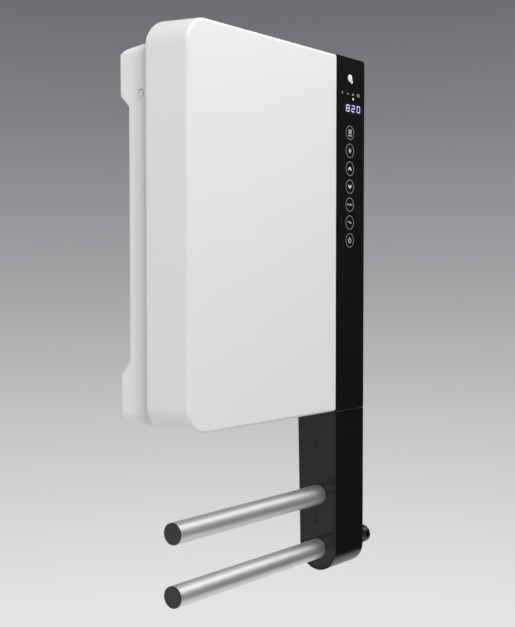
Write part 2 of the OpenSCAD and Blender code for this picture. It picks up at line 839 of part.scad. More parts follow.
// Rear wall of the duct: a growing spiral behind the wheel, then down past the heater
module scroll_section() {
    w = scroll_wall;
    polygon(concat(
        [[chassis_front_y - 2.5, window_z2 + 2]],
        scroll_points(0, 20),
        [[duct_rear_y, heater_top_z + 4], [duct_rear_y, heater_bottom_z],
         [outlet_y2 - 3, duct_end_z], [outlet_y2 - 3 + w, duct_end_z],
         [duct_rear_y + w, heater_bottom_z], [duct_rear_y + w, heater_top_z + 4]],
        [for (i = [20:-1:0]) scroll_points(w, 20)[i]],
        [[chassis_front_y, window_z2 - 1], [chassis_front_y, window_z2 + 2]]));
}

module side_plate_section() {
    polygon([[duct_front_y - 3, heater_bottom_z], [duct_front_y - 3, axis_z + 10],
        [axis_y - wheel_r, axis_z + wheel_r + 8], [axis_y, axis_z + wheel_r + 12],
        [axis_y + wheel_r, axis_z + wheel_r], [axis_y + scroll_r2 - 1, axis_z],
        [axis_y + scroll_r2 * 0.82, axis_z - scroll_r2 * 0.62],
        [duct_rear_y + scroll_wall, heater_top_z], [duct_rear_y + scroll_wall, heater_bottom_z],
        [outlet_y2 - 1, duct_end_z], [outlet_y1 + 3, duct_end_z]]);
}

module fan_scroll() {
    color([0.3, 0.3, 0.32]) {
        along_x(duct_x1, duct_x2) scroll_section();
        difference() {
            union() {
                along_x(duct_x1 - plate_t, duct_x1) side_plate_section();
                along_x(duct_x2, duct_x2 + plate_t) side_plate_section();
                // lugs on the chassis
                along_y(chassis_front_y - 2.5, chassis_front_y) {
                    rect(duct_x1 - plate_t, window_z2, duct_x2 + plate_t, window_z2 + 9);
                    for (z = [axis_z + seat_r + 5, heater_top_z + 1])
                        rect(window_x1 - 7, z, duct_x1 - 1, z + 15);
                }
            }
            rod_x(duct_x1 - plate_t - cut, duct_x1 + cut, axis_y, axis_z, seat_r);
            rod_x(duct_x2 - cut, duct_x2 + plate_t + cut, axis_y, axis_z, hub_r + 3);
        }
    }
}

// Front wall of the duct, with the lip that parts the flow at the wheel
module air_guide() {
    tip_r = wheel_r + wheel_gap;
    tip = [axis_y + tip_r * cos(tongue_angle), axis_z + tip_r * sin(tongue_angle)];
    color([0.3, 0.3, 0.32]) along_x(duct_x1 + fit / 2, duct_x2 - fit / 2) {
        polygon([tip, [tip[0] - 1, tip[1] + 3], [tip[0] - 3, tip[1] + 4], [tip[0] - 4.4, tip[1] + 2],
            [duct_front_y - 2, heater_top_z + 4], [duct_front_y - 2, heater_bottom_z],
            [outlet_y1 + 3, duct_end_z], [outlet_y1 + 5, duct_end_z],
            [duct_front_y, heater_bottom_z], [duct_front_y, heater_top_z + 4]]);
    }
}

// One blade: an arc that leans forward, between two radii
module blade() {
    r_out = wheel_r - 0.6;
    r_in = wheel_r * 0.78;
    blade_r = 7.5;
    mid = (r_out + r_in) / 2;
    intersection() {
        translate([mid, -blade_r * 0.82]) difference() {
            circle(blade_r, $fn = 48);
            circle(blade_r - blade_t, $fn = 48);
        }
        difference() {
            circle(r_out, $fn = 96);
            circle(r_in, $fn = 96);
        }
        rotate(-20) square([wheel_r + 5, wheel_r * 0.62]);
    }
}

module fan_wheel() {
    color("silver") difference() {
        union() {
            translate([wheel_x1, axis_y, axis_z]) rotate([90, 0, 90]) linear_extrude(wheel_l)
                for (i = [0:blade_count - 1]) rotate(i * 360 / blade_count) blade();
            for (k = [0:disc_count - 1]) {
                x = wheel_x1 + k * (wheel_l - disc_t) / (disc_count - 1);
                difference() {
                    rod_x(x, x + disc_t, axis_y, axis_z, wheel_r);
                    if (k > 0 && k < disc_count - 1) rod_x(x - cut, x + disc_t + cut, axis_y, axis_z,
                        wheel_r * 0.74);
                }
            }
            rod_x(wheel_x1, wheel_x1 + hub_l, axis_y, axis_z, hub_r);
            rod_x(wheel_x2 - hub_l, wheel_x2, axis_y, axis_z, hub_r);
        }
        rod_x(wheel_x1 - cut, wheel_x1 + hub_l - 2, axis_y, axis_z, shaft_r);
        rod_x(wheel_x2 - hub_l + 2, wheel_x2 + cut, axis_y, axis_z, shaft_r);
    }
}

module bearing_pin() {
    color("gainsboro") rod_x(duct_x1 - bush_l, wheel_x1 + hub_l - 2, axis_y, axis_z, shaft_r);
}

module motor_shaft() {
    color("gainsboro") rod_x(wheel_x2 - hub_l + 2, motor_x1 + 16, axis_y, axis_z, shaft_r);
}

module bearing_bush() {
    color("peru") difference() {
        rod_x(duct_x1 - bush_l, duct_x1 + 0.5, axis_y, axis_z, bush_r);
        rod_x(duct_x1 - bush_l - cut, duct_x1 + cut, axis_y, axis_z, shaft_r + running_gap);
    }
}

module bearing_seat() {
    color([0.15, 0.15, 0.15]) difference() {
        union() {
            rod_x(duct_x1 - plate_t, duct_x1, axis_y, axis_z, seat_r);
            rod_x(duct_x1 - plate_t - 4, duct_x1 - plate_t, axis_y, axis_z, seat_r + 2.5);
        }
        rod_x(duct_x1 - plate_t - 5, duct_x1 + cut, axis_y, axis_z, bush_r);
    }
}

module motor_ring() {
    color([0.15, 0.15, 0.15]) difference() {
        rod_x(duct_x2 + plate_t, motor_x1, axis_y, axis_z, ring_r);
        rod_x(duct_x2 + plate_t - cut, motor_x1 + cut, axis_y, axis_z, ring_r - 6);
    }
}

module fan_motor() {
    cap_r = motor_r - 6;
    vent_n = 8;
    vent_r = 2.4;
    vent_depth = 6;
    color([0.55, 0.56, 0.58]) difference() {
        union() {
            rod_x(motor_x1 + 3, motor_x2 - 4, axis_y, axis_z, motor_r);
            rod_x(motor_x1, motor_x2, axis_y, axis_z, cap_r);
        }
        rod_x(motor_x1 - cut, motor_x1 + 16.5, axis_y, axis_z, shaft_r + running_gap);
        translate([0, axis_y, axis_z]) for (i = [0:vent_n - 1]) rotate([i * 360 / vent_n, 0, 0])
            rod_x(motor_x2 - vent_depth, motor_x2 + cut, cap_r * 0.7, 0, vent_r);
    }
}

// ---------- heater ----------

fin_x1 = duct_x1 + 6;
fin_x2 = duct_x2 - 6;
bank_y1 = duct_front_y + 3.4;
bank_y2 = duct_rear_y - 3.4;
bar_t = 2.6;
fin_z1 = heater_top_z - 3 - heater_h;
fin_z2 = heater_top_z - 3;
row_d = (bank_y2 - bank_y1 - heater_bars_n * bar_t) / (heater_bars_n + 1);

module heater_frame() {
    color([0.12, 0.12, 0.12]) difference() {
        along_z(heater_bottom_z, heater_top_z)
            rect(duct_x1 + fit, duct_front_y + fit, duct_x2 - fit, duct_rear_y - fit);
        along_z(fin_z1, fin_z2) rect(fin_x1, bank_y1, fin_x2, bank_y2);
        along_z(heater_bottom_z - cut, heater_top_z + cut)
            rect(fin_x1 + 2, bank_y1 + 1, fin_x2 - 2, bank_y2 - 1);
    }
}

module heating_bars() {
    color("goldenrod") for (i = [1:heater_bars_n]) {
        y = bank_y1 + i * row_d + (i - 1) * bar_t;
        block([fin_x1, y, fin_z1 + 1], [fin_x2, y + bar_t, fin_z2 - 1]);
    }
}

module heater_fins() {
    fin_t = 0.5;
    color("silver") for (i = [0:heater_bars_n]) {
        y = bank_y1 + i * (row_d + bar_t);
        along_z(fin_z1, fin_z2) difference() {
            rect(fin_x1, y, fin_x2, y + row_d);
            for (x = [fin_x1 + 0.6:fin_pitch:fin_x2 - fin_pitch]) rect(x, y + 0.5, x + fin_pitch - fin_t,
                y + row_d - 0.5);
        }
    }
}

module thermal_cutout() {
    x = (duct_x1 + duct_x2) / 2;
    z = heater_top_z + 9;
    color("beige") {
        rod_y(duct_front_y + 0.9, duct_front_y + 5, x, z, 7);
        rod_y(duct_front_y + 5, duct_front_y + 6, x, z, 5);
    }
}

// ---------- electrics ----------

power_x1 = split_x - 4;
power_x2 = housing_x - housing_wall - 4;
power_z1 = bottom_z + 150;
power_z2 = top_z - 80;
power_y = -34;

module power_board() {
    post_r = 3;
    color("darkgreen") along_y(power_y, power_y + board_t) rect(power_x1, power_z1, power_x2, power_z2);
    color("white") for (x = [power_x1 + 5, power_x2 - 5], z = [power_z1 + 5, power_z2 - 5])
        rod_y(chassis_back_y, power_y, x, z, post_r);
}

module board_parts() {
    relay = [14, 12, 22];
    relay_pitch = 30;
    choke = [20, 13, 28];
    can_r = 6;
    can_h = 14;
    can_pitch = 16;
    color([0.2, 0.3, 0.6]) {
        for (i = [0:2]) translate([power_x1 + 10, power_y - relay[1], power_z1 + 24 + i * relay_pitch])
            cube(relay);
        for (i = [0, 1])
            rod_y(power_y - can_h, power_y, power_x2 - 10, power_z2 - 28 - i * can_pitch, can_r);
        translate([power_x1 + 5, power_y - choke[1], power_z2 - 22 - choke[2]]) cube(choke);
    }
}

terminal_ways = 3;
terminal_pitch = 12;
terminal_h = 18;
terminal_d = 15.5;
terminal_x1 = grommet_x - terminal_ways * terminal_pitch / 2;
clamp_z = grommet_z + 20;
terminal_z1 = clamp_z + 10;

module terminal_block() {
    color("white") difference() {
        block([terminal_x1, panel_in_y - terminal_d, terminal_z1],
            [terminal_x1 + terminal_ways * terminal_pitch, panel_in_y, terminal_z1 + terminal_h]);
        for (i = [0:terminal_ways - 1], z = [5, terminal_h - 5])
            rod_y(panel_in_y - terminal_d - cut, panel_in_y - terminal_d / 2,
                terminal_x1 + (i + 0.5) * terminal_pitch, terminal_z1 + z, 2.4);
    }
}

module cord_clamp() {
    w = 16;
    h = 5;
    d = 11;
    color([0.15, 0.15, 0.15]) difference() {
        along_y(panel_in_y - d, panel_in_y)
            round_rect(grommet_x - w, clamp_z - h, grommet_x + w, clamp_z + h, 3);
        translate([grommet_x, panel_in_y, clamp_z - h - cut]) cylinder(h = 2 * (h + cut), r = 5);
        for (s = [-1, 1]) rod_y(panel_in_y - d - cut, panel_in_y + cut, grommet_x + s * 11, clamp_z, 1.8);
    }
}

module cable_grommet() {
    lip = 2;
    color([0.15, 0.15, 0.15]) difference() {
        union() {
            rod_y(panel_in_y - lip, panel_y + lip, grommet_x, grommet_z, grommet_r);
            rod_y(panel_in_y - lip, panel_in_y, grommet_x, grommet_z, grommet_r + lip);
            rod_y(panel_y, panel_y + lip, grommet_x, grommet_z, grommet_r + lip);
        }
        rod_y(panel_in_y - lip - cut, panel_y + lip + cut, grommet_x, grommet_z, 4);
    }
}

rocker_r = 30;
rocker_tilt = 7;
rocker_x = housing_x - 4;

module switch_body() {
    w = switch_w / 2;
    h = switch_h / 2;
    color([0.12, 0.12, 0.12]) difference() {
        union() {
            block([housing_x - 20, switch_y - w + 0.2, switch_z - h + 0.2],
                [housing_x, switch_y + w - 0.2, switch_z + h - 0.2]);
            along_x(housing_x, housing_x + 1.5) round_rect(switch_y - w - 1.5, switch_z - h - 1.5,
                switch_y + w + 1.5, switch_z + h + 1.5, 1.5);
        }
        block([housing_x - 9, switch_y - w + 1.5, switch_z - h + 1.8],
            [housing_x + 3, switch_y + w - 1.5, switch_z + h - 1.8]);
        rod_y(switch_y - w + 0.5, switch_y + w - 0.5, rocker_x, switch_z, 1 + running_gap);
    }
}

module switch_rocker() {
    w = switch_w / 2 - 1.8;
    h = switch_h / 2 - 3.2;
    color([0.1, 0.1, 0.1]) translate([rocker_x, 0, switch_z]) rotate([0, rocker_tilt, 0]) {
        along_y(switch_y - w, switch_y + w) difference() {
            rect(-2, -h, 7, h);
            translate([rocker_r + 5, 0]) circle(rocker_r, $fn = 96);
        }
        rod_y(switch_y - w - 0.9, switch_y + w + 0.9, 0, 0, 1);
    }
}

// ---------- towel arm ----------

module arm_profile(inset, top) {
    back_y = front_y + column_d - inset;
    polygon([[front_y + inset, lower_bar_z], [back_y, lower_bar_z], [back_y + arm_taper, top],
        [front_y + inset, top]]);
    translate([bar_y, lower_bar_z]) circle(arm_r - inset, $fn = 128);
}

module towel_arm() {
    color([0.08, 0.08, 0.09]) difference() {
        union() {
            difference() {
                along_x(column_x1, right_x) arm_profile(0, arm_top_z);
                along_x(column_x1 - cut, column_in_x2) arm_profile(column_wall, arm_top_z - column_wall);
            }
            for (z = arm_screw_zs) rod_x(column_x1 + side_plate_t + fit, right_x - 1, bar_y, z,
                arm_boss_r);
        }
        for (z = arm_screw_zs) rod_x(column_x1, column_x1 + side_plate_t + 24, bar_y, z, pilot_r);
        block([spine_x1 - fit, bar_y - spine_w / 2 - fit, arm_top_z - column_wall - cut],
            [spine_x1 + spine_t + fit, bar_y + spine_w / 2 + fit, arm_top_z + cut]);
        rod_x(column_in_x2 - cut, right_x + cut, bar_y, lower_bar_z, bolt_r + fit);
    }
}

// The arm's open side above (side = 1) or below (side = -1) the slanted joint
module plate_outline(side) {
    reach = 2 * body_d;
    intersection() {
        arm_profile(side_plate_inset + fit, arm_top_z - side_plate_inset - fit);
        translate([bar_y, end_joint_z]) rotate(-end_joint_slope)
            translate([-reach / 2, side > 0 ? seam / 2 : -reach - seam / 2]) square(reach);
    }
}

module arm_side_plate() {
    sink = arm_screw_sink + arm_screw_head_t;
    color([0.1, 0.1, 0.11]) difference() {
        along_x(column_x1, column_x1 + side_plate_t) plate_outline(1);
        for (z = arm_screw_zs) {
            rod_x(column_x1 - cut, column_x1 + sink, bar_y, z, arm_screw_head_r + 0.2);
            rod_x(column_x1 - cut, column_x1 + side_plate_t + cut, bar_y, z, screw_r);
        }
        rod_x(column_x1 - cut, column_x1 + side_plate_t + cut, bar_y, upper_bar_z, bar_r + fit);
    }
}

// Plate round the lower bar, with two pegs that snap into the arm
module arm_end_plate() {
    peg_y = socket_r + 4;
    peg_l = 6;
    peg_r = 2;
    color([0.1, 0.1, 0.11]) difference() {
        union() {
            along_x(column_x1, column_x1 + side_plate_t) plate_outline(-1);
            for (s = [-1, 1]) rod_x(column_x1 + side_plate_t - 0.5, column_x1 + side_plate_t + peg_l,
                bar_y + s * peg_y, lower_bar_z - peg_l, peg_r);
        }
        rod_x(column_x1 - cut, column_x1 + side_plate_t + cut, bar_y, lower_bar_z, bar_r + fit);
    }
}

module arm_screws() {
    head_x = column_x1 + arm_screw_sink;
    color("dimgray") for (z = arm_screw_zs) {
        rod_x(head_x, head_x + arm_screw_head_t, bar_y, z, arm_screw_head_r);
        rod_x(head_x + arm_screw_head_t, head_x + 18, bar_y, z, pilot_r);
    }
}

spine_bolt_x = spine_x1 - spine_foot_w / 2;
spine_bolt_zs = [bottom_z + 18, bottom_z + 46];

module arm_spine() {
    y1 = bar_y - spine_w / 2;
    y2 = bar_y + spine_w / 2;
    color("lightsteelblue") difference() {
        union() {
            along_x(spine_x1, spine_x1 + spine_t) {
                rect(y1, lower_bar_z, y2, spine_top_z);
                translate([bar_y, lower_bar_z]) circle(spine_w / 2 - 0.01);
                rect(y2 - 1, bottom_z + 6, chassis_front_y, spine_top_z);
            }
            block([spine_x1 - spine_foot_w, chassis_front_y - spine_t, bottom_z + 6],
                [spine_x1 + spine_t, chassis_front_y, spine_top_z]);
        }
        for (z = arm_screw_zs) rod_x(spine_x1 - cut, spine_x1 + spine_t + cut, bar_y, z,
            arm_boss_r + 1);
        for (z = [upper_bar_z, lower_bar_z]) rod_x(spine_x1 - cut, spine_x1 + spine_t + cut, bar_y, z,
            bolt_r + 0.1);
        for (z = spine_bolt_zs) rod_y(chassis_front_y - spine_t - cut, chassis_front_y + cut,
            spine_bolt_x, z, bolt_r * 0.6);
    }
}

module spine_bolts() {
    r = bolt_r * 0.6 - 0.1;
    color("silver") for (z = spine_bolt_zs) {
        rod_y(chassis_front_y - spine_t, chassis_back_y + 6, spine_bolt_x, z, r);
        rod_y(chassis_front_y - spine_t - 3, chassis_front_y - spine_t, spine_bolt_x, z, 2 * r);
        rod_y(chassis_back_y, chassis_back_y + 3.5, spine_bolt_x, z, 2 * r, $fn = 6);
    }
}

module bar_sockets() {
    color([0.2, 0.2, 0.21]) for (z = [upper_bar_z, lower_bar_z]) difference() {
        rod_x(column_x1 + side_plate_t, spine_x1, bar_y, z, socket_r);
        rod_x(column_x1 + side_plate_t - cut, column_x1 + bar_in + fit, bar_y, z, bar_r);
        rod_x(column_x1 + bar_in, spine_x1 + cut, bar_y, z, spigot_r);
    }
}

module bar_spigots() {
    color("silver") for (z = [upper_bar_z, lower_bar_z]) difference() {
        rod_x(spigot_x1, spine_x1, bar_y, z, spigot_r);
        rod_x(spine_x1 - 30, spine_x1 + cut, bar_y, z, bolt_r);
    }
}

module bar_bolt() {
    color("silver") {
        rod_x(spine_x1 - 20, spine_x1 + spine_t, bar_y, upper_bar_z, bolt_r);
        rod_x(spine_x1 + spine_t, spine_x1 + spine_t + bolt_head_t, bar_y, upper_bar_z, bolt_head_r);
    }
}

module towel_bar(z) {
    color("silver") difference() {
        rod_x(bar_x1 + cap_t, column_x1 + bar_in, bar_y, z, bar_r, $fn = 128);
        rod_x(bar_x1, column_x1 + bar_in + cut, bar_y, z, bar_r - bar_wall);
    }
}

module towel_bar_upper() {
    towel_bar(upper_bar_z);
}

module towel_bar_lower() {
    towel_bar(lower_bar_z);
}

module bar_caps() {
    bevel = 0.8;
    color([0.2, 0.2, 0.21]) for (z = [upper_bar_z, lower_bar_z]) translate([bar_x1, bar_y, z])
        rotate([0, 90, 0]) rotate_extrude($fn = 96) polygon([[0, 0], [bar_r - 0.2 - bevel, 0],
            [bar_r - 0.2, bevel], [bar_r - 0.2, cap_t], [bar_r - bar_wall - 0.1, cap_t],
            [bar_r - bar_wall - 0.1, cap_t + cap_plug_l], [0, cap_t + cap_plug_l]]);
}

// Knob on the arm's right face; its stud also bolts the lower bar
module robe_hook() {
    r = hook_dia / 2;
    neck_r = r * 0.62;
    base_t = 4;
    head_l = 15;
    dome = 5;
    color([0.06, 0.06, 0.07]) {
        translate([right_x, bar_y, lower_bar_z]) rotate([0, 90, 0]) rotate_extrude($fn = 96)
            polygon(concat([[0, 0], [r, 0], [r, base_t - 1], [r - 1, base_t], [neck_r + 2, base_t],
                [neck_r, base_t + 2], [neck_r, hook_l - head_l - 2], [r - 1, hook_l - head_l],
                [r, hook_l - head_l + 1], [r, hook_l - dome]],
                [for (i = [1:8]) let (a = i * 90 / 8) [r * cos(a), hook_l - dome + dome * sin(a)]]));
        rod_x(spine_x1 - 20, right_x, bar_y, lower_bar_z, bolt_r);
    }
}

// ---------- internal wires ----------

function unit(v) = v / norm(v);

// Direction of a route at its point i: along the bend's bisector inside, along the end stretch at an end
function heading(p, i) =
    let (n = len(p) - 1)
    i == 0 ? unit(p[1] - p[0])
    : i == n ? unit(p[n] - p[n - 1])
    : unit(unit(p[i] - p[i - 1]) + unit(p[i + 1] - p[i]));

// Ring of points round point i of a route
function ring(p, i, r, sides) =
    let (t = heading(p, i), u = unit(cross(t, [1, 0, 0])), v = cross(t, u))
    [for (k = [0:sides - 1]) p[i] + r * (cos(k * 360 / sides) * u + sin(k * 360 / sides) * v)];

// A round tube swept along a route
module wire(p, r) {
    sides = 8;
    n = len(p) - 1;
    points = [for (i = [0:n]) each ring(p, i, r, sides)];
    walls = [for (i = [0:n - 1], k = [0:sides - 1]) let (m = (k + 1) % sides)
        [i * sides + k, i * sides + m, (i + 1) * sides + m, (i + 1) * sides + k]];
    ends = [[for (k = [sides - 1:-1:0]) k], [for (k = [0:sides - 1]) n * sides + k]];
    polyhedron(points, concat(walls, ends));
}

module wires() {
    wire_r = 1.3;
    run_y = power_y + 8;
    start_z = terminal_z1 + terminal_h;
    end_z = power_z1 + 30;
    color("tomato") for (k = [0:terminal_ways - 1]) {
        x1 = terminal_x1 + (k + 0.5) * terminal_pitch;
        x2 = power_x2 - 34 + 6 * k;
        wire([[x1, run_y, start_z], [x1, run_y, start_z + 12], [x2, run_y, end_z - 10],
            [x2, run_y, end_z], [x2, power_y + board_t, end_z]], wire_r);
    }
}

front_cover();
outlet_grille();
control_column();
touch_panel();
sensor_lens();
display_module();
touch_board();
touch_springs();
rear_housing();
intake_panel();
chassis();
housing_screws();
wall_bracket();
side_screws();
filter_frame();
filter_mesh();
fan_scroll();
air_guide();
fan_wheel();
bearing_pin();
motor_shaft();
fan_motor();
motor_ring();
bearing_bush();
bearing_seat();
heater_frame();
heating_bars();
heater_fins();
thermal_cutout();
power_board();
board_parts();
terminal_block();
cord_clamp();
cable_grommet();
switch_body();
switch_rocker();
towel_arm();
arm_side_plate();
arm_end_plate();
arm_screws();
arm_spine();
spine_bolts();
bar_sockets();
bar_spigots();
bar_bolt();
towel_bar_upper();
towel_bar_lower();
bar_caps();
robe_hook();
wires();
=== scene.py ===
# %% [markdown]
# # A bathroom wall fan heater
# A white moulded cover, a glossy black control strip and an arm with two towel bars hang on a wall bracket.
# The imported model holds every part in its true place. This script gives each part its finish, eases the
# edges that would look knife-sharp, prints the symbols on the strip, and lights the heater like a studio.

import json
import math

import bmesh
import bpy
from mathutils import Matrix, Vector

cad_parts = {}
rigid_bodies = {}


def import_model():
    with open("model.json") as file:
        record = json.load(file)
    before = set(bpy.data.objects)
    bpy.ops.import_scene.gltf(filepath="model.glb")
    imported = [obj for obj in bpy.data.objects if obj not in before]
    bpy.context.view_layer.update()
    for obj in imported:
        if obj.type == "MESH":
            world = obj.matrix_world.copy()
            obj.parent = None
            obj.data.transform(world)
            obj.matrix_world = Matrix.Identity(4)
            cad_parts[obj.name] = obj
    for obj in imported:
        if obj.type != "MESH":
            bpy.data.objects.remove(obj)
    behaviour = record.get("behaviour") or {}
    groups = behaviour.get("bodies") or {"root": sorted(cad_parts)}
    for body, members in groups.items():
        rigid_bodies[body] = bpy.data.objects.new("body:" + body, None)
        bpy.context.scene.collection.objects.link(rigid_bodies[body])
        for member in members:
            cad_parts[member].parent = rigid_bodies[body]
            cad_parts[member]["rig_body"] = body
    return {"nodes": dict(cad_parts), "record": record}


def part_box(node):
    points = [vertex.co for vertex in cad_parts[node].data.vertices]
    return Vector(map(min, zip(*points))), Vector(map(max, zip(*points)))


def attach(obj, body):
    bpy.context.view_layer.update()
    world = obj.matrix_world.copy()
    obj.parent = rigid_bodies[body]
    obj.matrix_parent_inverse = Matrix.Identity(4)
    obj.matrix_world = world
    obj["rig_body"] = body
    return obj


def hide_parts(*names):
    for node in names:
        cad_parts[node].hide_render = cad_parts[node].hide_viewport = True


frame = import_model()
nodes = frame["nodes"]
scene = bpy.context.scene
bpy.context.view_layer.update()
MM = 0.001

# %% [markdown]
# ## The camera
# The photograph was taken from the front left, with the lens a little above the middle of the whole heater,
# its arm included. A camera can be placed by eye and nudged, or solved from edges whose true lengths are
# known. Here it was solved, from the cover's corners and upright lines and from the towel bars with their
# round ends, so the proportions can be compared.

# %% Camera
CAMERA_PLACE = Vector((-0.9989, -0.8809, -0.2212))
CAMERA_LOOK = Vector((0.7751, 0.6307, -0.0368))
CAMERA_LENS = 61.0       # on the 36 mm side of the frame
HEATER_MIDDLE = Vector((0, -0.05, -0.2))        # the lamps aim here too

camera_data = bpy.data.cameras.new("camera")
camera_data.sensor_width = 36.0
camera_data.lens = CAMERA_LENS
camera = bpy.data.objects.new("camera", camera_data)
camera.location = CAMERA_PLACE
camera.rotation_euler = CAMERA_LOOK.to_track_quat("-Z", "Y").to_euler()
scene.collection.objects.link(camera)
scene.camera = camera
print("camera to heater:", round((CAMERA_PLACE - HEATER_MIDDLE).length, 3), "m")

# %% [markdown]
# ## Wires for shader maths
# A finish is a small web of nodes. Placing each Math node by hand hides the idea, so an output socket is
# wrapped in a class whose operators add the Math nodes: `0.3 + 0.1 * grain` then reads like the sum it is.
# One method of the material adds every other kind of node from its type, settings and sockets.

# %% Wire and Finish
class Wire:
    """An output socket; arithmetic on it adds Math nodes."""

    def __init__(self, finish, socket):
        self.finish = finish
        self.socket = socket

    def math(self, operation, first, second):
        return self.finish.node("Math", {"operation": operation}, {0: first, 1: second})

    def __add__(self, other):
        return self.math("ADD", self, other)

    def __mul__(self, other):
        return self.math("MULTIPLY", self, other)

    def __gt__(self, other):
        return self.math("GREATER_THAN", self, other)

    def __lt__(self, other):
        return self.math("LESS_THAN", self, other)

    __radd__ = __add__
    __rmul__ = __mul__


class Finish:
    """A material in the making, with its Principled shader."""

    def __init__(self, name, **constants):
        self.material = bpy.data.materials.new(name)
        self.material.use_nodes = True
        self.tree = self.material.node_tree
        self.shader = self.tree.nodes["Principled BSDF"]
        for socket, value in constants.items():
            self.shader.inputs[socket.replace("_", " ")].default_value = value

    def join(self, value, socket):
        """Links a wire to a socket, or sets a plain value on it."""
        if isinstance(value, Wire):
            self.tree.links.new(value.socket, socket)
        else:
            socket.default_value = value

    def node(self, kind, settings=None, sockets=None, output=0):
        """Adds a node: its settings first, then the values or wires of its sockets."""
        node = self.tree.nodes.new("ShaderNode" + kind)
        for name, value in (settings or {}).items():
            if name == "stops":
                ramp = node.color_ramp.elements
                for place, colour in value[2:]:
                    ramp.new(place)
                for stop, (place, colour) in zip(ramp, value):
                    stop.position = place
                    stop.color = (*colour, 1)
            else:
                setattr(node, name, value)
        for name, value in (sockets or {}).items():
            self.join(value, node.inputs[name])
        return Wire(self, node.outputs[output])

    def place(self, stretch=(1, 1, 1), middle=(0, 0, 0)):
        """Object coordinates in metres from a middle point, stretched per axis."""
        where = self.node("TexCoord", output="Object")
        start = tuple(-part * scale for part, scale in zip(middle, stretch))
        return self.node("Mapping", sockets={"Vector": where, "Scale": stretch, "Location": start})

    def noise(self, size, stretch=(1, 1, 1), detail=2.0, rough=0.5):
        """Soft noise whose lumps are about `size` metres across."""
        return self.node("TexNoise", sockets={
            "Vector": self.place(stretch), "Scale": 1 / size, "Detail": detail, "Roughness": rough})

    def mix(self, factor, first, second):
        """A colour between two colours."""
        ends = {6: (*first, 1) if isinstance(first, tuple) else first,
                7: (*second, 1) if isinstance(second, tuple) else second}
        return self.node("Mix", {"data_type": "RGBA"}, {0: factor, **ends}, output=2)

    def paint(self, **wires):
        """Sends wires or values to the shader's own sockets."""
        for socket, value in wires.items():
            self.join(value, self.shader.inputs[socket.replace("_", " ")])
        return self

    def relief(self, height, depth, strength):
        """Bump of a height that runs from 0 to 1 over `depth` metres."""
        self.paint(Normal=self.node("Bump", sockets={
            "Height": height, "Distance": depth, "Strength": strength}))
        return self


def shade(colour, factor):
    """A colour made lighter or darker."""
    return tuple(min(1.0, part * factor) for part in colour)


print("helpers:", Wire.__name__, Finish.__name__, shade.__name__)

# %% [markdown]
# ## Moulded plastics
# Cover, housing, column and arm are injection moulded. Their steel moulds are spark-eroded, which leaves a
# fine even grain of half a millimetre or so, so the gloss is soft and slightly uneven. Paint-like flat
# colour would look synthetic; a grain in the bump, and in the roughness, gives the same soft sheen. A broad,
# very weak cloud in the colour stands for the flow of the plastic and the dust that every surface has.
# The housing, whose front rim hides behind the cover, greys from the wall towards that joint. This darkening
# is painted shade: it stands in for the shade that the cover's overhang casts near the joint. A ramp over the
# depth gives it. The ramp also carries the housing's own tone, so the plastic under it is plain white.

# %% Moulded finish
GRAIN_DEPTH = 0.00001
CLOUD_SIZE = 0.09
JOINT_Y = -0.05          # where the housing meets the cover; the wall is at 0
# painted shade: the grey falls from the wall to the joint, where the cover's overhang shades the housing
TONE_AND_SHADE_GREYS = [(0.0, 0.92), (0.4, 0.89), (1.0, 0.62)]     # share of the way to the joint, and the grey there
PAINTED_SHADE_BLUE = 0.997        # the painted shade's blue, as a share of its grey


def housing_tone_and_painted_shade(finish):
    """The housing's tone with painted shade, as a colour that darkens from the wall forwards to the joint with
    the cover.
    """
    depth = finish.node("SeparateXYZ", sockets={"Vector": finish.place()}, output="Y")
    share = finish.node("MapRange", sockets={"Value": depth, "From Min": 0.0, "From Max": JOINT_Y})
    stops = [(at, (grey, grey, grey * PAINTED_SHADE_BLUE)) for at, grey in TONE_AND_SHADE_GREYS]
    return finish.node("ValToRGB", {"stops": stops}, {"Fac": share})


def moulded(name, colour, roughness, grain=0.0005, cloud=0.02, tone_and_painted_shade=None, **constants):
    """Spark-eroded moulded plastic, with a ramp of tone and painted shade multiplied over its colour if one is
    given.
    """
    finish = Finish(name, **constants)
    lumps = finish.noise(grain, detail=2.0)
    drift = finish.noise(CLOUD_SIZE, detail=3.0)
    tint = finish.mix(drift, shade(colour, 1 - cloud), shade(colour, 1 + cloud))
    if tone_and_painted_shade:
        tint = finish.node("Mix", {"data_type": "RGBA", "blend_type": "MULTIPLY"}, {
            0: 1.0, 6: tone_and_painted_shade(finish), 7: tint}, output=2)
    finish.paint(Base_Color=tint, Roughness=(roughness - 0.06) + 0.07 * lumps + 0.05 * drift)
    return finish.relief(lumps, GRAIN_DEPTH, 0.5)


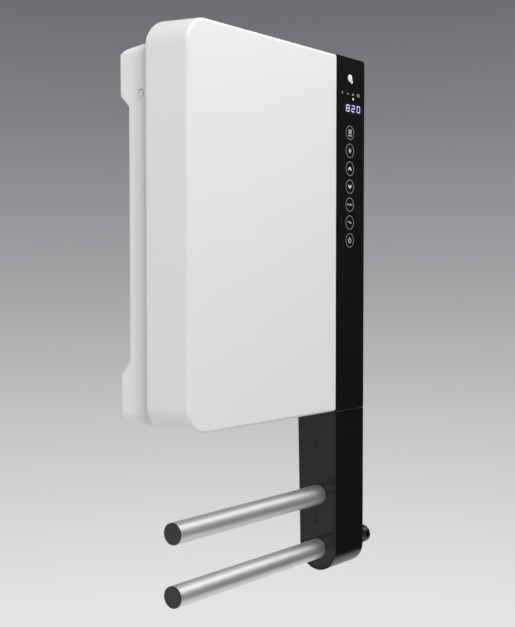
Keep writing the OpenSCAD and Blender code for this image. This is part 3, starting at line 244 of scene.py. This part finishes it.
finishes = {
    "cover_white": moulded("cover_white", (0.83, 0.83, 0.828), 0.36, cloud=0.008, IOR=1.5),
    # the housing's colour carries painted shade that darkens it towards its joint with the cover
    "housing_white": moulded("housing_white", (1.0, 1.0, 1.0), 0.5, grain=0.0007, cloud=0.015,
                             tone_and_painted_shade=housing_tone_and_painted_shade),
    "column_black": moulded("column_black", (0.007, 0.007, 0.0073), 0.26, cloud=0.15,
                            Specular_IOR_Level=0.4),
    "hook_black": moulded("hook_black", (0.005, 0.005, 0.0055), 0.3, grain=0.0008, cloud=0.15),
    "cap_grey": moulded("cap_grey", (0.017, 0.017, 0.018), 0.45, grain=0.0006, cloud=0.1),
    "inner_dark": moulded("inner_dark", (0.03, 0.03, 0.032), 0.55, grain=0.0009, cloud=0.2),
    "display_dark": moulded("display_dark", (0.02, 0.02, 0.03), 0.4, cloud=0.1),
    "rubber_black": moulded("rubber_black", (0.018, 0.018, 0.018), 0.72, grain=0.0006, cloud=0.25),
    "terminal_white": moulded("terminal_white", (0.74, 0.73, 0.69), 0.45, cloud=0.03),
    "part_blue": moulded("part_blue", (0.02, 0.08, 0.28), 0.35, cloud=0.1),
    "wire_red": moulded("wire_red", (0.45, 0.03, 0.02), 0.4, grain=0.0012, cloud=0.1),
    "heater_ceramic": moulded("heater_ceramic", (0.62, 0.58, 0.5), 0.7, grain=0.0006, cloud=0.08),
}
finishes["lens_white"] = moulded(
    "lens_white", (0.86, 0.86, 0.85), 0.3, grain=0.0004, cloud=0.01,
    Subsurface_Weight=0.35, Subsurface_Radius=(0.002, 0.002, 0.002))
print("moulded finishes:", len(finishes))

# %% [markdown]
# ## The glossy strip
# The control strip is one sheet of glossy black acrylic. A perfect mirror would look like liquid: a real one
# carries a trace of wiping marks, which are easiest to make as a noise stretched along the strip that
# lifts the roughness a little. A much finer one, stretched across it, stands for hairline scratches.

# %% Glossy strip
PANEL_BLACK = (0.0065, 0.0065, 0.0068)
PANEL_ROUGHNESS = 0.06
WIPE = 0.08              # what the wiping marks add to the roughness at most


def polished(name):
    """Glossy black sheet with faint wiping marks."""
    finish = Finish(name, IOR=1.46, Specular_IOR_Level=0.42)
    wiped = finish.noise(0.012, stretch=(1, 1, 0.3), detail=4.0, rough=0.6)
    hair = finish.noise(0.0006, stretch=(0.15, 1, 1), detail=1.0)
    finish.paint(
        Base_Color=finish.mix(wiped, PANEL_BLACK, shade(PANEL_BLACK, 1.5)),
        Roughness=PANEL_ROUGHNESS + WIPE * wiped + 0.02 * hair)
    return finish.relief(hair, 0.000001, 0.3)


finishes["panel_black"] = polished("panel_black")
print("roughness of the strip:", PANEL_ROUGHNESS, "to about", PANEL_ROUGHNESS + WIPE)

# %% [markdown]
# ## Metals
# The towel bars are aluminium tube, drawn through a die and then bead-blasted and anodised, so they have very
# faint streaks along the bar under a soft, even sheen. Other metals differ in the direction of their marks:
# rolled steel has zinc crystals, turned parts have rings. One function takes the colour, the roughness, the
# size of the streaks and the way they are stretched, because only these change.

# %% Metal finish
STREAK_DEPTH = 0.000004
STREAK_SPREAD = 0.12     # how far the streaks spread the roughness


def metal(name, colour, roughness, streak=0.0006, stretch=(1, 1, 1)):
    """Metal whose streaks run along the axis with the smallest stretch."""
    finish = Finish(name, Metallic=1.0)
    marks = finish.noise(streak, stretch=stretch, detail=3.0, rough=0.6)
    drift = finish.noise(0.03, stretch=stretch, detail=2.0)
    finish.paint(
        Base_Color=finish.mix(marks, shade(colour, 0.9), shade(colour, 1.06)),
        Roughness=(roughness - STREAK_SPREAD / 2) + STREAK_SPREAD * marks + 0.06 * drift)
    return finish.relief(marks, STREAK_DEPTH, 0.5)


finishes["bar_aluminium"] = metal("bar_aluminium", (0.8, 0.8, 0.81), 0.5, stretch=(0.02, 1, 1))
finishes["fan_alu"] = metal("fan_alu", (0.6, 0.6, 0.61), 0.42, stretch=(0.05, 1, 1))
finishes["fin_alu"] = metal("fin_alu", (0.66, 0.66, 0.67), 0.38, stretch=(1, 1, 0.05))
finishes["shaft_steel"] = metal("shaft_steel", (0.52, 0.52, 0.53), 0.25, stretch=(1, 0.05, 0.05))
finishes["bush_bronze"] = metal("bush_bronze", (0.42, 0.27, 0.14), 0.5, streak=0.0003)
print("finishes with the metals:", len(finishes))

# %% [markdown]
# ## Galvanised steel
# The wall bracket and the chassis are pressed from galvanised sheet. Zinc freezes in flat crystals of a few
# millimetres, each with its own tone. A Voronoi texture gives cells of just that kind, and its random cell
# colour, reduced to a grey, drives both tone and roughness.

# %% Galvanised finish
def galvanised(name, colour, crystal=0.005):
    """Zinc-coated sheet with its spangle."""
    finish = Finish(name, Metallic=1.0)
    wobble = finish.noise(0.004, detail=3.0)
    cells = finish.node("TexVoronoi", sockets={
        "Vector": finish.place(), "Scale": 1 / crystal}, output="Color")
    tone = finish.node("RGBToBW", sockets={"Color": cells})
    finish.paint(
        Base_Color=finish.mix(tone * 0.7 + wobble * 0.3, shade(colour, 0.82), shade(colour, 1.12)),
        Roughness=0.34 + 0.14 * tone + 0.08 * wobble)
    return finish.relief(wobble, 0.00001, 0.4)


finishes["zinc_steel"] = galvanised("zinc_steel", (0.5, 0.51, 0.53))
print("finishes with the galvanised sheet:", len(finishes))

# %% [markdown]
# ## Circuit board and dust filter
# The board's lacquer lets copper tracks show through as a lighter net: cells with thin borders give that net.
# The filter is a woven net of black threads with air between them, so its pattern must cut holes: the
# height of two crossed wave textures decides where a thread is, and the alpha is off everywhere else.

# %% Board and net
TRACK_CELLS = 160.0      # cells per metre
TRACK_LINE = 0.06        # how far a track reaches from its cell's edge, in cells
NET_PITCH = 0.0036
NET_THREAD = 0.62        # height of the waves above which there is thread


def lacquered(name, colour, track):
    """Board lacquer over tracks."""
    finish = Finish(name, IOR=1.5)
    edge = finish.node("TexVoronoi", {"feature": "DISTANCE_TO_EDGE"}, {
        "Vector": finish.place((1, 1, 0.5)), "Scale": TRACK_CELLS})
    line = edge < TRACK_LINE
    finish.paint(Base_Color=finish.mix(line, colour, track), Roughness=0.3 + 0.12 * line)
    return finish.relief(line, 0.00003, 0.5)


def woven(name, colour):
    """A woven net in the x-z plane, with open meshes."""
    finish = Finish(name, Roughness=0.6)
    turns = math.pi / (10 * NET_PITCH)     # the wave texture's scale for one thread per pitch
    bands = [finish.node("TexWave", {"wave_type": "BANDS", "bands_direction": axis}, {
        "Vector": finish.place(), "Scale": turns}, output="Fac") for axis in "XZ"]
    thread = finish.node("Math", {"operation": "MAXIMUM"}, {0: bands[0], 1: bands[1]})
    finish.paint(
        Base_Color=finish.mix(thread, shade(colour, 0.5), shade(colour, 1.6)),
        Alpha=thread > NET_THREAD)
    return finish.relief(thread, 0.0002, 0.8)


finishes["board_green"] = lacquered("board_green", (0.012, 0.09, 0.035), (0.05, 0.2, 0.07))
finishes["filter_dark"] = woven("filter_dark", (0.02, 0.02, 0.02))
print("finishes:", len(finishes))

# %% [markdown]
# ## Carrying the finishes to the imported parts
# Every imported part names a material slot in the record, so one loop can hand out the finishes. A slot that
# has no finish stops the script here, so that no part stays plain unnoticed.

# %% Hand out the finishes
slot_of = {part["node"]: part["material_slot"] for part in frame["record"]["subparts"]}
for name, part in nodes.items():
    for holder in part.material_slots:
        holder.material = finishes[slot_of[name]].material
print("slots served:", len(set(slot_of.values())), "of", len(finishes), "finishes")

# %% [markdown]
# ## Easing the edges
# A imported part's edges are perfectly sharp, and a perfectly sharp edge never catches a highlight. The real
# mouldings have edges eased by a few tenths of a millimetre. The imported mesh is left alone; a copy is merged
# into clean faces, and a Bevel modifier that works by angle rounds only the true corners. Weighted normals
# keep the flat faces flat beside the new roundings. Easing takes a little area off a part, so a copy that
# gained area has a face across an opening; the filter frame and the grille did, and keep their triangles.

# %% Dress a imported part
OPEN_FRAMES = ("filter_frame", "outlet_grille")     # one merged face round two openings would cover them
WELD = 0.002 * MM
FLAT = math.radians(0.4)         # faces that turn less than this are merged
CORNER = math.radians(32.0)      # corners sharper than this are eased
EASE_STEPS = 2


def dress(node, edge):
    """Stands a smooth copy with eased edges, given in millimetres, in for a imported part."""
    shape = bmesh.new()
    shape.from_mesh(nodes[node].data)
    bmesh.ops.remove_doubles(shape, verts=shape.verts, dist=WELD)
    if node not in OPEN_FRAMES:
        bmesh.ops.dissolve_limit(
            shape, angle_limit=FLAT, use_dissolve_boundaries=False,
            verts=shape.verts, edges=shape.edges, delimit={"NORMAL"})
    mesh = bpy.data.meshes.new(node + "_dressed")
    shape.to_mesh(mesh)
    shape.free()
    mesh.materials.clear()
    mesh.materials.append(finishes[slot_of[node]].material)
    mesh.polygons.foreach_set("use_smooth", [True] * len(mesh.polygons))
    mesh.set_sharp_from_angle(angle=CORNER)
    piece = bpy.data.objects.new(node + "_dressed", mesh)
    scene.collection.objects.link(piece)
    ease = piece.modifiers.new("eased_edges", "BEVEL")
    ease.width = edge * MM
    ease.segments = EASE_STEPS
    ease.limit_method = "ANGLE"
    ease.angle_limit = CORNER
    ease.miter_outer = "MITER_ARC"
    ease.harden_normals = False
    level = piece.modifiers.new("flat_faces", "WEIGHTED_NORMAL")
    level.keep_sharp = True
    level.weight = 100
    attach(piece, nodes[node]["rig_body"])
    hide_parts(node)
    return piece


EDGES = {
    "front_cover": 0.5, "rear_housing": 0.7, "control_column": 0.5, "touch_panel": 0.35,
    "towel_arm": 0.5, "arm_side_plate": 0.4, "bar_caps": 0.5, "towel_bar_upper": 0.2,
    "towel_bar_lower": 0.2, "robe_hook": 0.3, "wall_bracket": 0.25, "outlet_grille": 0.2,
    "switch_body": 0.3, "switch_rocker": 0.4, "cable_grommet": 0.3, "filter_frame": 0.3,
    "sensor_lens": 0.1, "side_screws": 0.15, "arm_screws": 0.15, "housing_screws": 0.15,
    "chassis": 0.3, "intake_panel": 0.4, "arm_end_plate": 0.4,
}
dressed = {node: dress(node, edge) for node, edge in EDGES.items()}
print("dressed:", len(dressed), "faces:", sum(len(piece.data.polygons) for piece in dressed.values()))

# %% [markdown]
# ## Printed symbols on the strip
# The keys are not buttons but rings and symbols printed behind the acrylic and lit from behind. An image
# would be the usual way, yet geometry stays crisp at any distance. Each symbol is made of thin bars, rings
# and discs that stand a twentieth of a millimetre proud of the strip, like a screen print.

# %% Print helpers
strip_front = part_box("touch_panel")[0].y
PRINT_DEPTH = 0.05 * MM
BAR_ENDS = 0.4           # what a bar's two ends add to its length, as a share of its width
ARC_STEP = 7.5           # degrees
print_y = strip_front - PRINT_DEPTH / 2
print("front of the strip:", round(strip_front, 4), "m")


def on_strip(x, z):
    """A place on the strip's face, from millimetres."""
    return Vector((x * MM, print_y, z * MM))


def bar(shape, start, end, width):
    """A printed bar between two places (x, z) in millimetres."""
    a, b = on_strip(*start), on_strip(*end)
    run = b - a
    turn = Matrix.Rotation(-math.atan2(run.z, run.x), 4, "Y")
    size = Matrix.Diagonal((run.length + BAR_ENDS * width * MM, PRINT_DEPTH, width * MM, 1))
    bmesh.ops.create_cube(shape, size=1, matrix=Matrix.Translation((a + b) / 2) @ turn @ size)


def disc(shape, centre, radius):
    """A printed dot."""
    turn = Matrix.Rotation(math.radians(90), 4, "X")
    bmesh.ops.create_cone(shape, cap_ends=True, segments=20, radius1=radius * MM,
                          radius2=radius * MM, depth=PRINT_DEPTH,
                          matrix=Matrix.Translation(on_strip(*centre)) @ turn)


def ring(shape, centre, radius, width, sweep=360.0, start=0.0):
    """A printed ring or arc: a small rectangle, spun about the strip's normal."""
    middle = on_strip(*centre)
    around = Matrix.Rotation(math.radians(-start), 3, "Y")
    corners = []
    for side, deep in ((-1, -1), (1, -1), (1, 1), (-1, 1)):
        reach = Vector(((radius + side * width / 2) * MM, deep * PRINT_DEPTH / 2, 0))
        corners.append(shape.verts.new(middle + around @ reach))
    loop = [shape.edges.new((corners[i], corners[(i + 1) % 4])) for i in range(4)]
    full = sweep >= 360
    bmesh.ops.spin(shape, geom=[*corners, *loop], cent=middle, axis=(0, -1, 0),
                   angle=math.radians(sweep), steps=round(sweep / ARC_STEP), use_merge=full)
    if not full:
        bmesh.ops.holes_fill(shape, edges=shape.edges, sides=4)


def finish_print(name, shape, finish):
    """Makes the printed shapes one piece."""
    bmesh.ops.remove_doubles(shape, verts=shape.verts, dist=0.001 * MM)
    bmesh.ops.recalc_face_normals(shape, faces=shape.faces)
    mesh = bpy.data.meshes.new(name)
    shape.to_mesh(mesh)
    shape.free()
    mesh.materials.append(finish.material)
    piece = bpy.data.objects.new(name, mesh)
    scene.collection.objects.link(piece)
    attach(piece, "housing")
    print(name, "faces:", len(mesh.polygons))


# %% [markdown]
# ## Ink and light
# The rings and the two settings glow least, the symbols more and the arrows most, and the figures of the
# display are bluish white. Each ink is a finish of its own, with a speckle that breaks up its edge tone as
# screen print does. The glow is weak, so that the strip still looks black around it. The display's window
# is the same glossy black with a faint blue halo, which a spherical gradient gives.

# %% Inks
def ink(name, colour, glow, strength):
    """Screen-print ink, lit from behind."""
    finish = Finish(name, Emission_Strength=strength)
    speckle = finish.noise(0.0003, detail=2.0)
    finish.paint(
        Base_Color=finish.mix(speckle, shade(colour, 0.85), shade(colour, 1.1)),
        Emission_Color=finish.mix(speckle, shade(glow, 0.8), glow),
        Roughness=0.35 + 0.2 * speckle)
    return finish


ring_ink = ink("ring_ink", (0.2, 0.2, 0.2), (0.3, 0.3, 0.3), 0.5)
symbol_ink = ink("symbol_ink", (0.35, 0.35, 0.35), (0.5, 0.5, 0.5), 0.6)
arrow_ink = ink("arrow_ink", (0.6, 0.6, 0.6), (0.9, 0.9, 0.9), 0.8)
figure_light = ink("figure_light", (0.5, 0.55, 0.6), (0.62, 0.76, 1.0), 0.95)
dot_light = ink("dot_light", (0.8, 0.8, 0.8), (1.0, 1.0, 1.0), 1.0)
HALO_STRETCH = (38, 0, 110)      # one over its reach to the side and upwards, in metres
HALO_MIDDLE = (0.1435, 0, -0.0095)
HALO_BLUE = (0.014, 0.022, 0.09)
window_tint = polished("window_tint")
halo = window_tint.node("TexGradient", {"gradient_type": "SPHERICAL"}, {
    "Vector": window_tint.place(HALO_STRETCH, HALO_MIDDLE)}, output="Fac")
window_tint.paint(
    Emission_Color=window_tint.mix(halo, (0.0, 0.0, 0.0), HALO_BLUE), Emission_Strength=1.0)
print("halo reaches:", [round(1000 / stretch) for stretch in HALO_STRETCH if stretch], "mm")

# %% [markdown]
# ## The seven keys
# Each key is a thin ring of about 18 mm with its symbol inside: heating, fan, up, down, two settings and
# on/off. The arrows are the brightest and the two settings the dimmest. Each brightness is a piece of its
# own, because each piece has one ink.

# %% Keys
KEY_X = 136.0
KEY_TOP_Z = -40.2
KEY_PITCH = 22.9
KEY_COUNT = 7
KEY_RADIUS = 8.6
KEY_LINE = 0.65
ARROW_SIDE, ARROW_RISE, ARROW_LINE = 3.1, 2.0, 1.1
key_z = [KEY_TOP_Z - KEY_PITCH * place for place in range(KEY_COUNT)]
heating_z, fan_z, up_z, down_z, dashes_z, steps_z, power_z = key_z


def stroke(shape, z, start, end, width):
    """A printed bar between two places about the middle of the key at a height."""
    bar(shape, (KEY_X + start[0], z + start[1]), (KEY_X + end[0], z + end[1]), width)


rings = bmesh.new()
for z in key_z:
    ring(rings, (KEY_X, z), KEY_RADIUS, KEY_LINE)
finish_print("key_rings", rings, ring_ink)

arrows = bmesh.new()
for z, way in ((up_z, ARROW_RISE), (down_z, -ARROW_RISE)):
    for side in (-ARROW_SIDE, ARROW_SIDE):
        stroke(arrows, z, (0, way), (side, -way), ARROW_LINE)
finish_print("key_arrows", arrows, arrow_ink)

symbols = bmesh.new()
for side in (-2.4, 0, 2.4):                          # heating: bars over a base line
    stroke(symbols, heating_z, (side, -1.6), (side, 4.0), 1.2)
stroke(symbols, heating_z, (-3.6, -3.8), (3.6, -3.8), 1.1)
for turn in (0, 60, 120):                            # fan: three crossed blades
    blade = Vector((math.cos(math.radians(turn)), math.sin(math.radians(turn)))) * 3.2
    stroke(symbols, fan_z, -blade, blade, 0.9)
ring(symbols, (KEY_X, power_z - 0.3), 2.9, 0.9, sweep=290, start=125)     # on/off
stroke(symbols, power_z, (0, 0.2), (0, 4.0), 0.9)
finish_print("key_symbols", symbols, symbol_ink)

settings = bmesh.new()
for side in (-4.5, -1.5, 1.5, 4.5):                  # first setting: four dashes
    stroke(settings, dashes_z, (side - 0.8, 0), (side + 0.8, 0), 2.0)
for side, level in ((-1.8, 1.0), (1.8, -0.6)):       # second setting: two steps
    stroke(settings, steps_z, (side - 2.2, level), (side + 2.2, level), 1.6)
finish_print("key_settings", settings, ring_ink)

# %% [markdown]
# ## Display, pilot light and status marks
# Under the sensor lens are four small status marks, a white pilot light and the display, whose figures are
# built from up to seven bars each. A table of which bars are lit for each figure is the usual way to make
# them. The window lies a little deeper than the figures, so that they are seen in front of it.

# %% Display
WINDOW = (116.0, -16.3, 162.0, -2.6)
WINDOW_SINK = 0.6        # of the print's depth
# middle of each figure, how far it stands above the window's middle, and the figure itself
FIGURES = ((131.0, 0.2, "8"), (143.0, 0.5, "2"), (155.0, 0.8, "0"))
DIGIT_W, DIGIT_H, DIGIT_STROKE, DIGIT_GAP = 6.3, 7.7, 0.85, 0.35
LIT_BARS = {"8": "abcdefg", "2": "abdeg", "0": "abcdef"}

window = bmesh.new()
x1, z1, x2, z2 = WINDOW
bar(window, (x1, (z1 + z2) / 2), (x2, (z1 + z2) / 2), z2 - z1)
bmesh.ops.transform(window, verts=window.verts, matrix=Matrix.Translation((0, WINDOW_SINK * PRINT_DEPTH, 0)))
finish_print("display_window", window, window_tint)

figures = bmesh.new()
for x, rise, figure in FIGURES:
    left, right = x - DIGIT_W / 2, x + DIGIT_W / 2
    middle_z = (z1 + z2) / 2 + rise
    top, bottom = middle_z + DIGIT_H / 2, middle_z - DIGIT_H / 2
    ends = {
        "a": ((left + DIGIT_GAP, top), (right - DIGIT_GAP, top)),
        "b": ((right, top - DIGIT_GAP), (right, middle_z + DIGIT_GAP)),
        "c": ((right, middle_z - DIGIT_GAP), (right, bottom + DIGIT_GAP)),
        "d": ((left + DIGIT_GAP, bottom), (right - DIGIT_GAP, bottom)),
        "e": ((left, middle_z - DIGIT_GAP), (left, bottom + DIGIT_GAP)),
        "f": ((left, top - DIGIT_GAP), (left, middle_z + DIGIT_GAP)),
        "g": ((left + DIGIT_GAP, middle_z), (right - DIGIT_GAP, middle_z))}
    for lit in LIT_BARS[figure]:
        bar(figures, *ends[lit], DIGIT_STROKE)
finish_print("display_figures", figures, figure_light)

MARK_Z = 9.0
SUN_X, ROOF_X, COMB_XS = 118.7, 142.6, (152.6, 156.4)
DASHES = ((129.4, 132.8, -0.6, 0.8), (130.3, 132.1, 0.6, 0.6))      # start, end, rise and width
marks = bmesh.new()
for side in (-1, 1):
    bar(marks, (ROOF_X, MARK_Z + 1.4), (ROOF_X + side * 1.5, MARK_Z - 1.2), 0.7)
for x in COMB_XS:
    bar(marks, (x, MARK_Z - 1.8), (x, MARK_Z + 1.8), 0.8)
    bar(marks, (x - 0.8, MARK_Z + 1.2), (x, MARK_Z + 1.2), 0.5)
finish_print("status_marks", marks, symbol_ink)

dim_marks = bmesh.new()
disc(dim_marks, (SUN_X, MARK_Z), 1.1)
for turn in range(0, 360, 60):
    way = Vector((math.cos(math.radians(turn)), math.sin(math.radians(turn))))
    bar(dim_marks, (SUN_X + 1.5 * way.x, MARK_Z + 1.5 * way.y),
        (SUN_X + 2.2 * way.x, MARK_Z + 2.2 * way.y), 0.4)
for start, end, rise, width in DASHES:
    bar(dim_marks, (start, MARK_Z + rise), (end, MARK_Z + rise), width)
finish_print("status_marks_dim", dim_marks, ring_ink)

pilot = bmesh.new()
disc(pilot, (142.8, 3.3), 1.2)
finish_print("pilot_light", pilot, dot_light)

sensor_ring = bmesh.new()
ring(sensor_ring, (139.6, 24.9), 1.6, 0.8)
finish_print("light_sensor_ring", sensor_ring, dot_light)

# %% [markdown]
# ## Floor and backdrop
# A photographer hangs the heater in front of a seamless sweep, so floor and wall have no edge between them.
# One profile, spun about the vertical through the heater, makes a round sweep that looks the same from
# every side. It is lighter towards the floor and greyer with height, as in the photograph, which is a ramp
# over the height in Object coordinates.

# %% Sweep
SWEEP_RADIUS = 4.5
SWEEP_BEND = 1.2
FLOOR_Z = -1.95
SWEEP_TOP_Z = 9.0
BEND_STEPS = 12
TURN_STEPS = 96

profile = bmesh.new()
points = [(0, 0, FLOOR_Z), (SWEEP_RADIUS - SWEEP_BEND, 0, FLOOR_Z)]
for step in range(1, BEND_STEPS + 1):
    turn = math.radians(90 * step / BEND_STEPS)
    points.append((SWEEP_RADIUS - SWEEP_BEND + SWEEP_BEND * math.sin(turn), 0,
                   FLOOR_Z + SWEEP_BEND * (1 - math.cos(turn))))
points.append((SWEEP_RADIUS, 0, SWEEP_TOP_Z))
line = [profile.verts.new(point) for point in points]
edges = [profile.edges.new(pair) for pair in zip(line, line[1:])]
bmesh.ops.spin(profile, geom=[*line, *edges], cent=(0, 0, 0), axis=(0, 0, 1),
               angle=math.tau, steps=TURN_STEPS, use_merge=True)
bmesh.ops.remove_doubles(profile, verts=profile.verts, dist=MM)
bmesh.ops.recalc_face_normals(profile, faces=profile.faces)
sweep_mesh = bpy.data.meshes.new("sweep")
profile.to_mesh(sweep_mesh)
profile.free()
sweep_mesh.polygons.foreach_set("use_smooth", [True] * len(sweep_mesh.polygons))
sweep = bpy.data.objects.new("sweep", sweep_mesh)
scene.collection.objects.link(sweep)

# height of the sweep's ramp, in metres, the grey seen there and how blue it is
SWEEP_GREYS = [(-1.9, 0.84, 0.0), (-1.1, 0.61, 0.0), (-0.25, 0.385, 0.6), (0.6, 0.24, 1.0), (1.3, 0.16, 1.0)]
BLUE_CAST = (-0.005, -0.015, 0.06)      # what full blue adds to red, green and blue
low, high = SWEEP_GREYS[0][0], SWEEP_GREYS[-1][0]
stops = [((z - low) / (high - low), tuple(grey * (1 + blue * cast) for cast in BLUE_CAST))
         for z, grey, blue in SWEEP_GREYS]
paper = Finish("sweep_paper", Roughness=1.0)
height = paper.node("SeparateXYZ", sockets={"Vector": paper.node("TexCoord", output="Object")}, output="Z")
level = paper.node("MapRange", sockets={"Value": height, "From Min": low, "From Max": high})
grey = paper.node("ValToRGB", {"stops": stops}, {"Fac": level})
camera_ray = paper.node("LightPath", output="Is Camera Ray")
mirror_ray = paper.node("LightPath", output="Is Glossy Ray")
CAMERA_SHARE = 0.85        # share of the sweep's own light, the rest comes from the lamps
glow = paper.node("Emission", sockets={"Color": grey, "Strength": 1.0})
matt = paper.node("BsdfDiffuse", sockets={"Color": grey})
seen = paper.node("MixShader", sockets={0: camera_ray * CAMERA_SHARE + mirror_ray, 1: matt, 2: glow})
paper.tree.links.new(seen.socket, paper.tree.nodes["Material Output"].inputs["Surface"])
sweep_mesh.materials.append(paper.material)
sweep.visible_diffuse = False
sweep.visible_shadow = False
print("sweep faces:", len(sweep_mesh.polygons))

# %% [markdown]
# ## A black card for the reflections
# A glossy black strip shows whatever stands in front of it. Photographers put a black card where the strip
# would mirror the bright room, here in front of the heater and to its right, and the strip turns deep
# black. The towel bars get the dark line along their middle from the same card. It shows in mirrors alone.

# %% Black card
CARD_PLACE = Vector((1.75, -1.5, -0.62))
CARD_AIM = Vector((0, -0.08, -0.35))
CARD_SIZE = (2.6, 2.5)
card_shape = bmesh.new()
turn = (CARD_AIM - CARD_PLACE).to_track_quat("Z", "Y").to_matrix().to_4x4()
bmesh.ops.create_grid(card_shape, x_segments=1, y_segments=1, size=0.5,
                      matrix=Matrix.Translation(CARD_PLACE) @ turn @ Matrix.Diagonal((*CARD_SIZE, 1, 1)))
card_mesh = bpy.data.meshes.new("black_card")
card_shape.to_mesh(card_mesh)
card_shape.free()
card = bpy.data.objects.new("black_card", card_mesh)
scene.collection.objects.link(card)
felt = Finish("card_felt", Roughness=1.0, Specular_IOR_Level=0.0)
fibres = felt.noise(0.002)
felt.paint(Base_Color=felt.mix(fibres, (0.004, 0.004, 0.004), (0.01, 0.01, 0.01)))
card_mesh.materials.append(felt.material)
card.visible_camera = False
card.visible_diffuse = False
card.visible_shadow = False
print("card to strip:", round((CARD_AIM - CARD_PLACE).length, 2), "m")

# %% [markdown]
# ## Lamps
# White plastic shows its shape only where the light falls off, so one soft box stands close, in front and
# above to the left, and the cover darkens evenly from top to bottom. A large one far to the right and weaker
# ones fill the other sides, and the world gives an even base light. Their strengths are set so that the
# white cover stays just under full white.

# %% Lamps and world
def soft_box(name, place, size, watts):
    """A square area lamp aimed at the heater."""
    lamp = bpy.data.lights.new(name, "AREA")
    lamp.shape = "SQUARE"
    lamp.size = size
    lamp.energy = watts
    holder = bpy.data.objects.new(name, lamp)
    holder.location = place
    holder.rotation_euler = (HEATER_MIDDLE - Vector(place)).to_track_quat("-Z", "Y").to_euler()
    scene.collection.objects.link(holder)
    print("lamp:", name, watts, "W")


soft_box("front_left", (-0.9, -1.5, 1.5), 1.0, 31)
soft_box("front_right", (2.5, -1.7, 1.75), 3.0, 56)
soft_box("left_low", (-1.3, -0.3, -1.8), 1.6, 8)
soft_box("left_back", (-2.2, 2.2, 0.3), 1.8, 6)
soft_box("top_left", (-1.0, -0.2, 1.5), 1.0, 4.5)
soft_box("back", (0.6, 3.0, 0.8), 1.6, 20)
soft_box("floor_bounce", (-1.3, -1.5, -1.85), 1.6, 2)

WORLD_STRENGTH = 0.4
world = bpy.data.worlds.new("world")
scene.world = world
world.use_nodes = True
world.node_tree.nodes["Background"].inputs["Color"].default_value = (1, 1, 1, 1)
world.node_tree.nodes["Background"].inputs["Strength"].default_value = WORLD_STRENGTH
scene.view_settings.view_transform = "Standard"
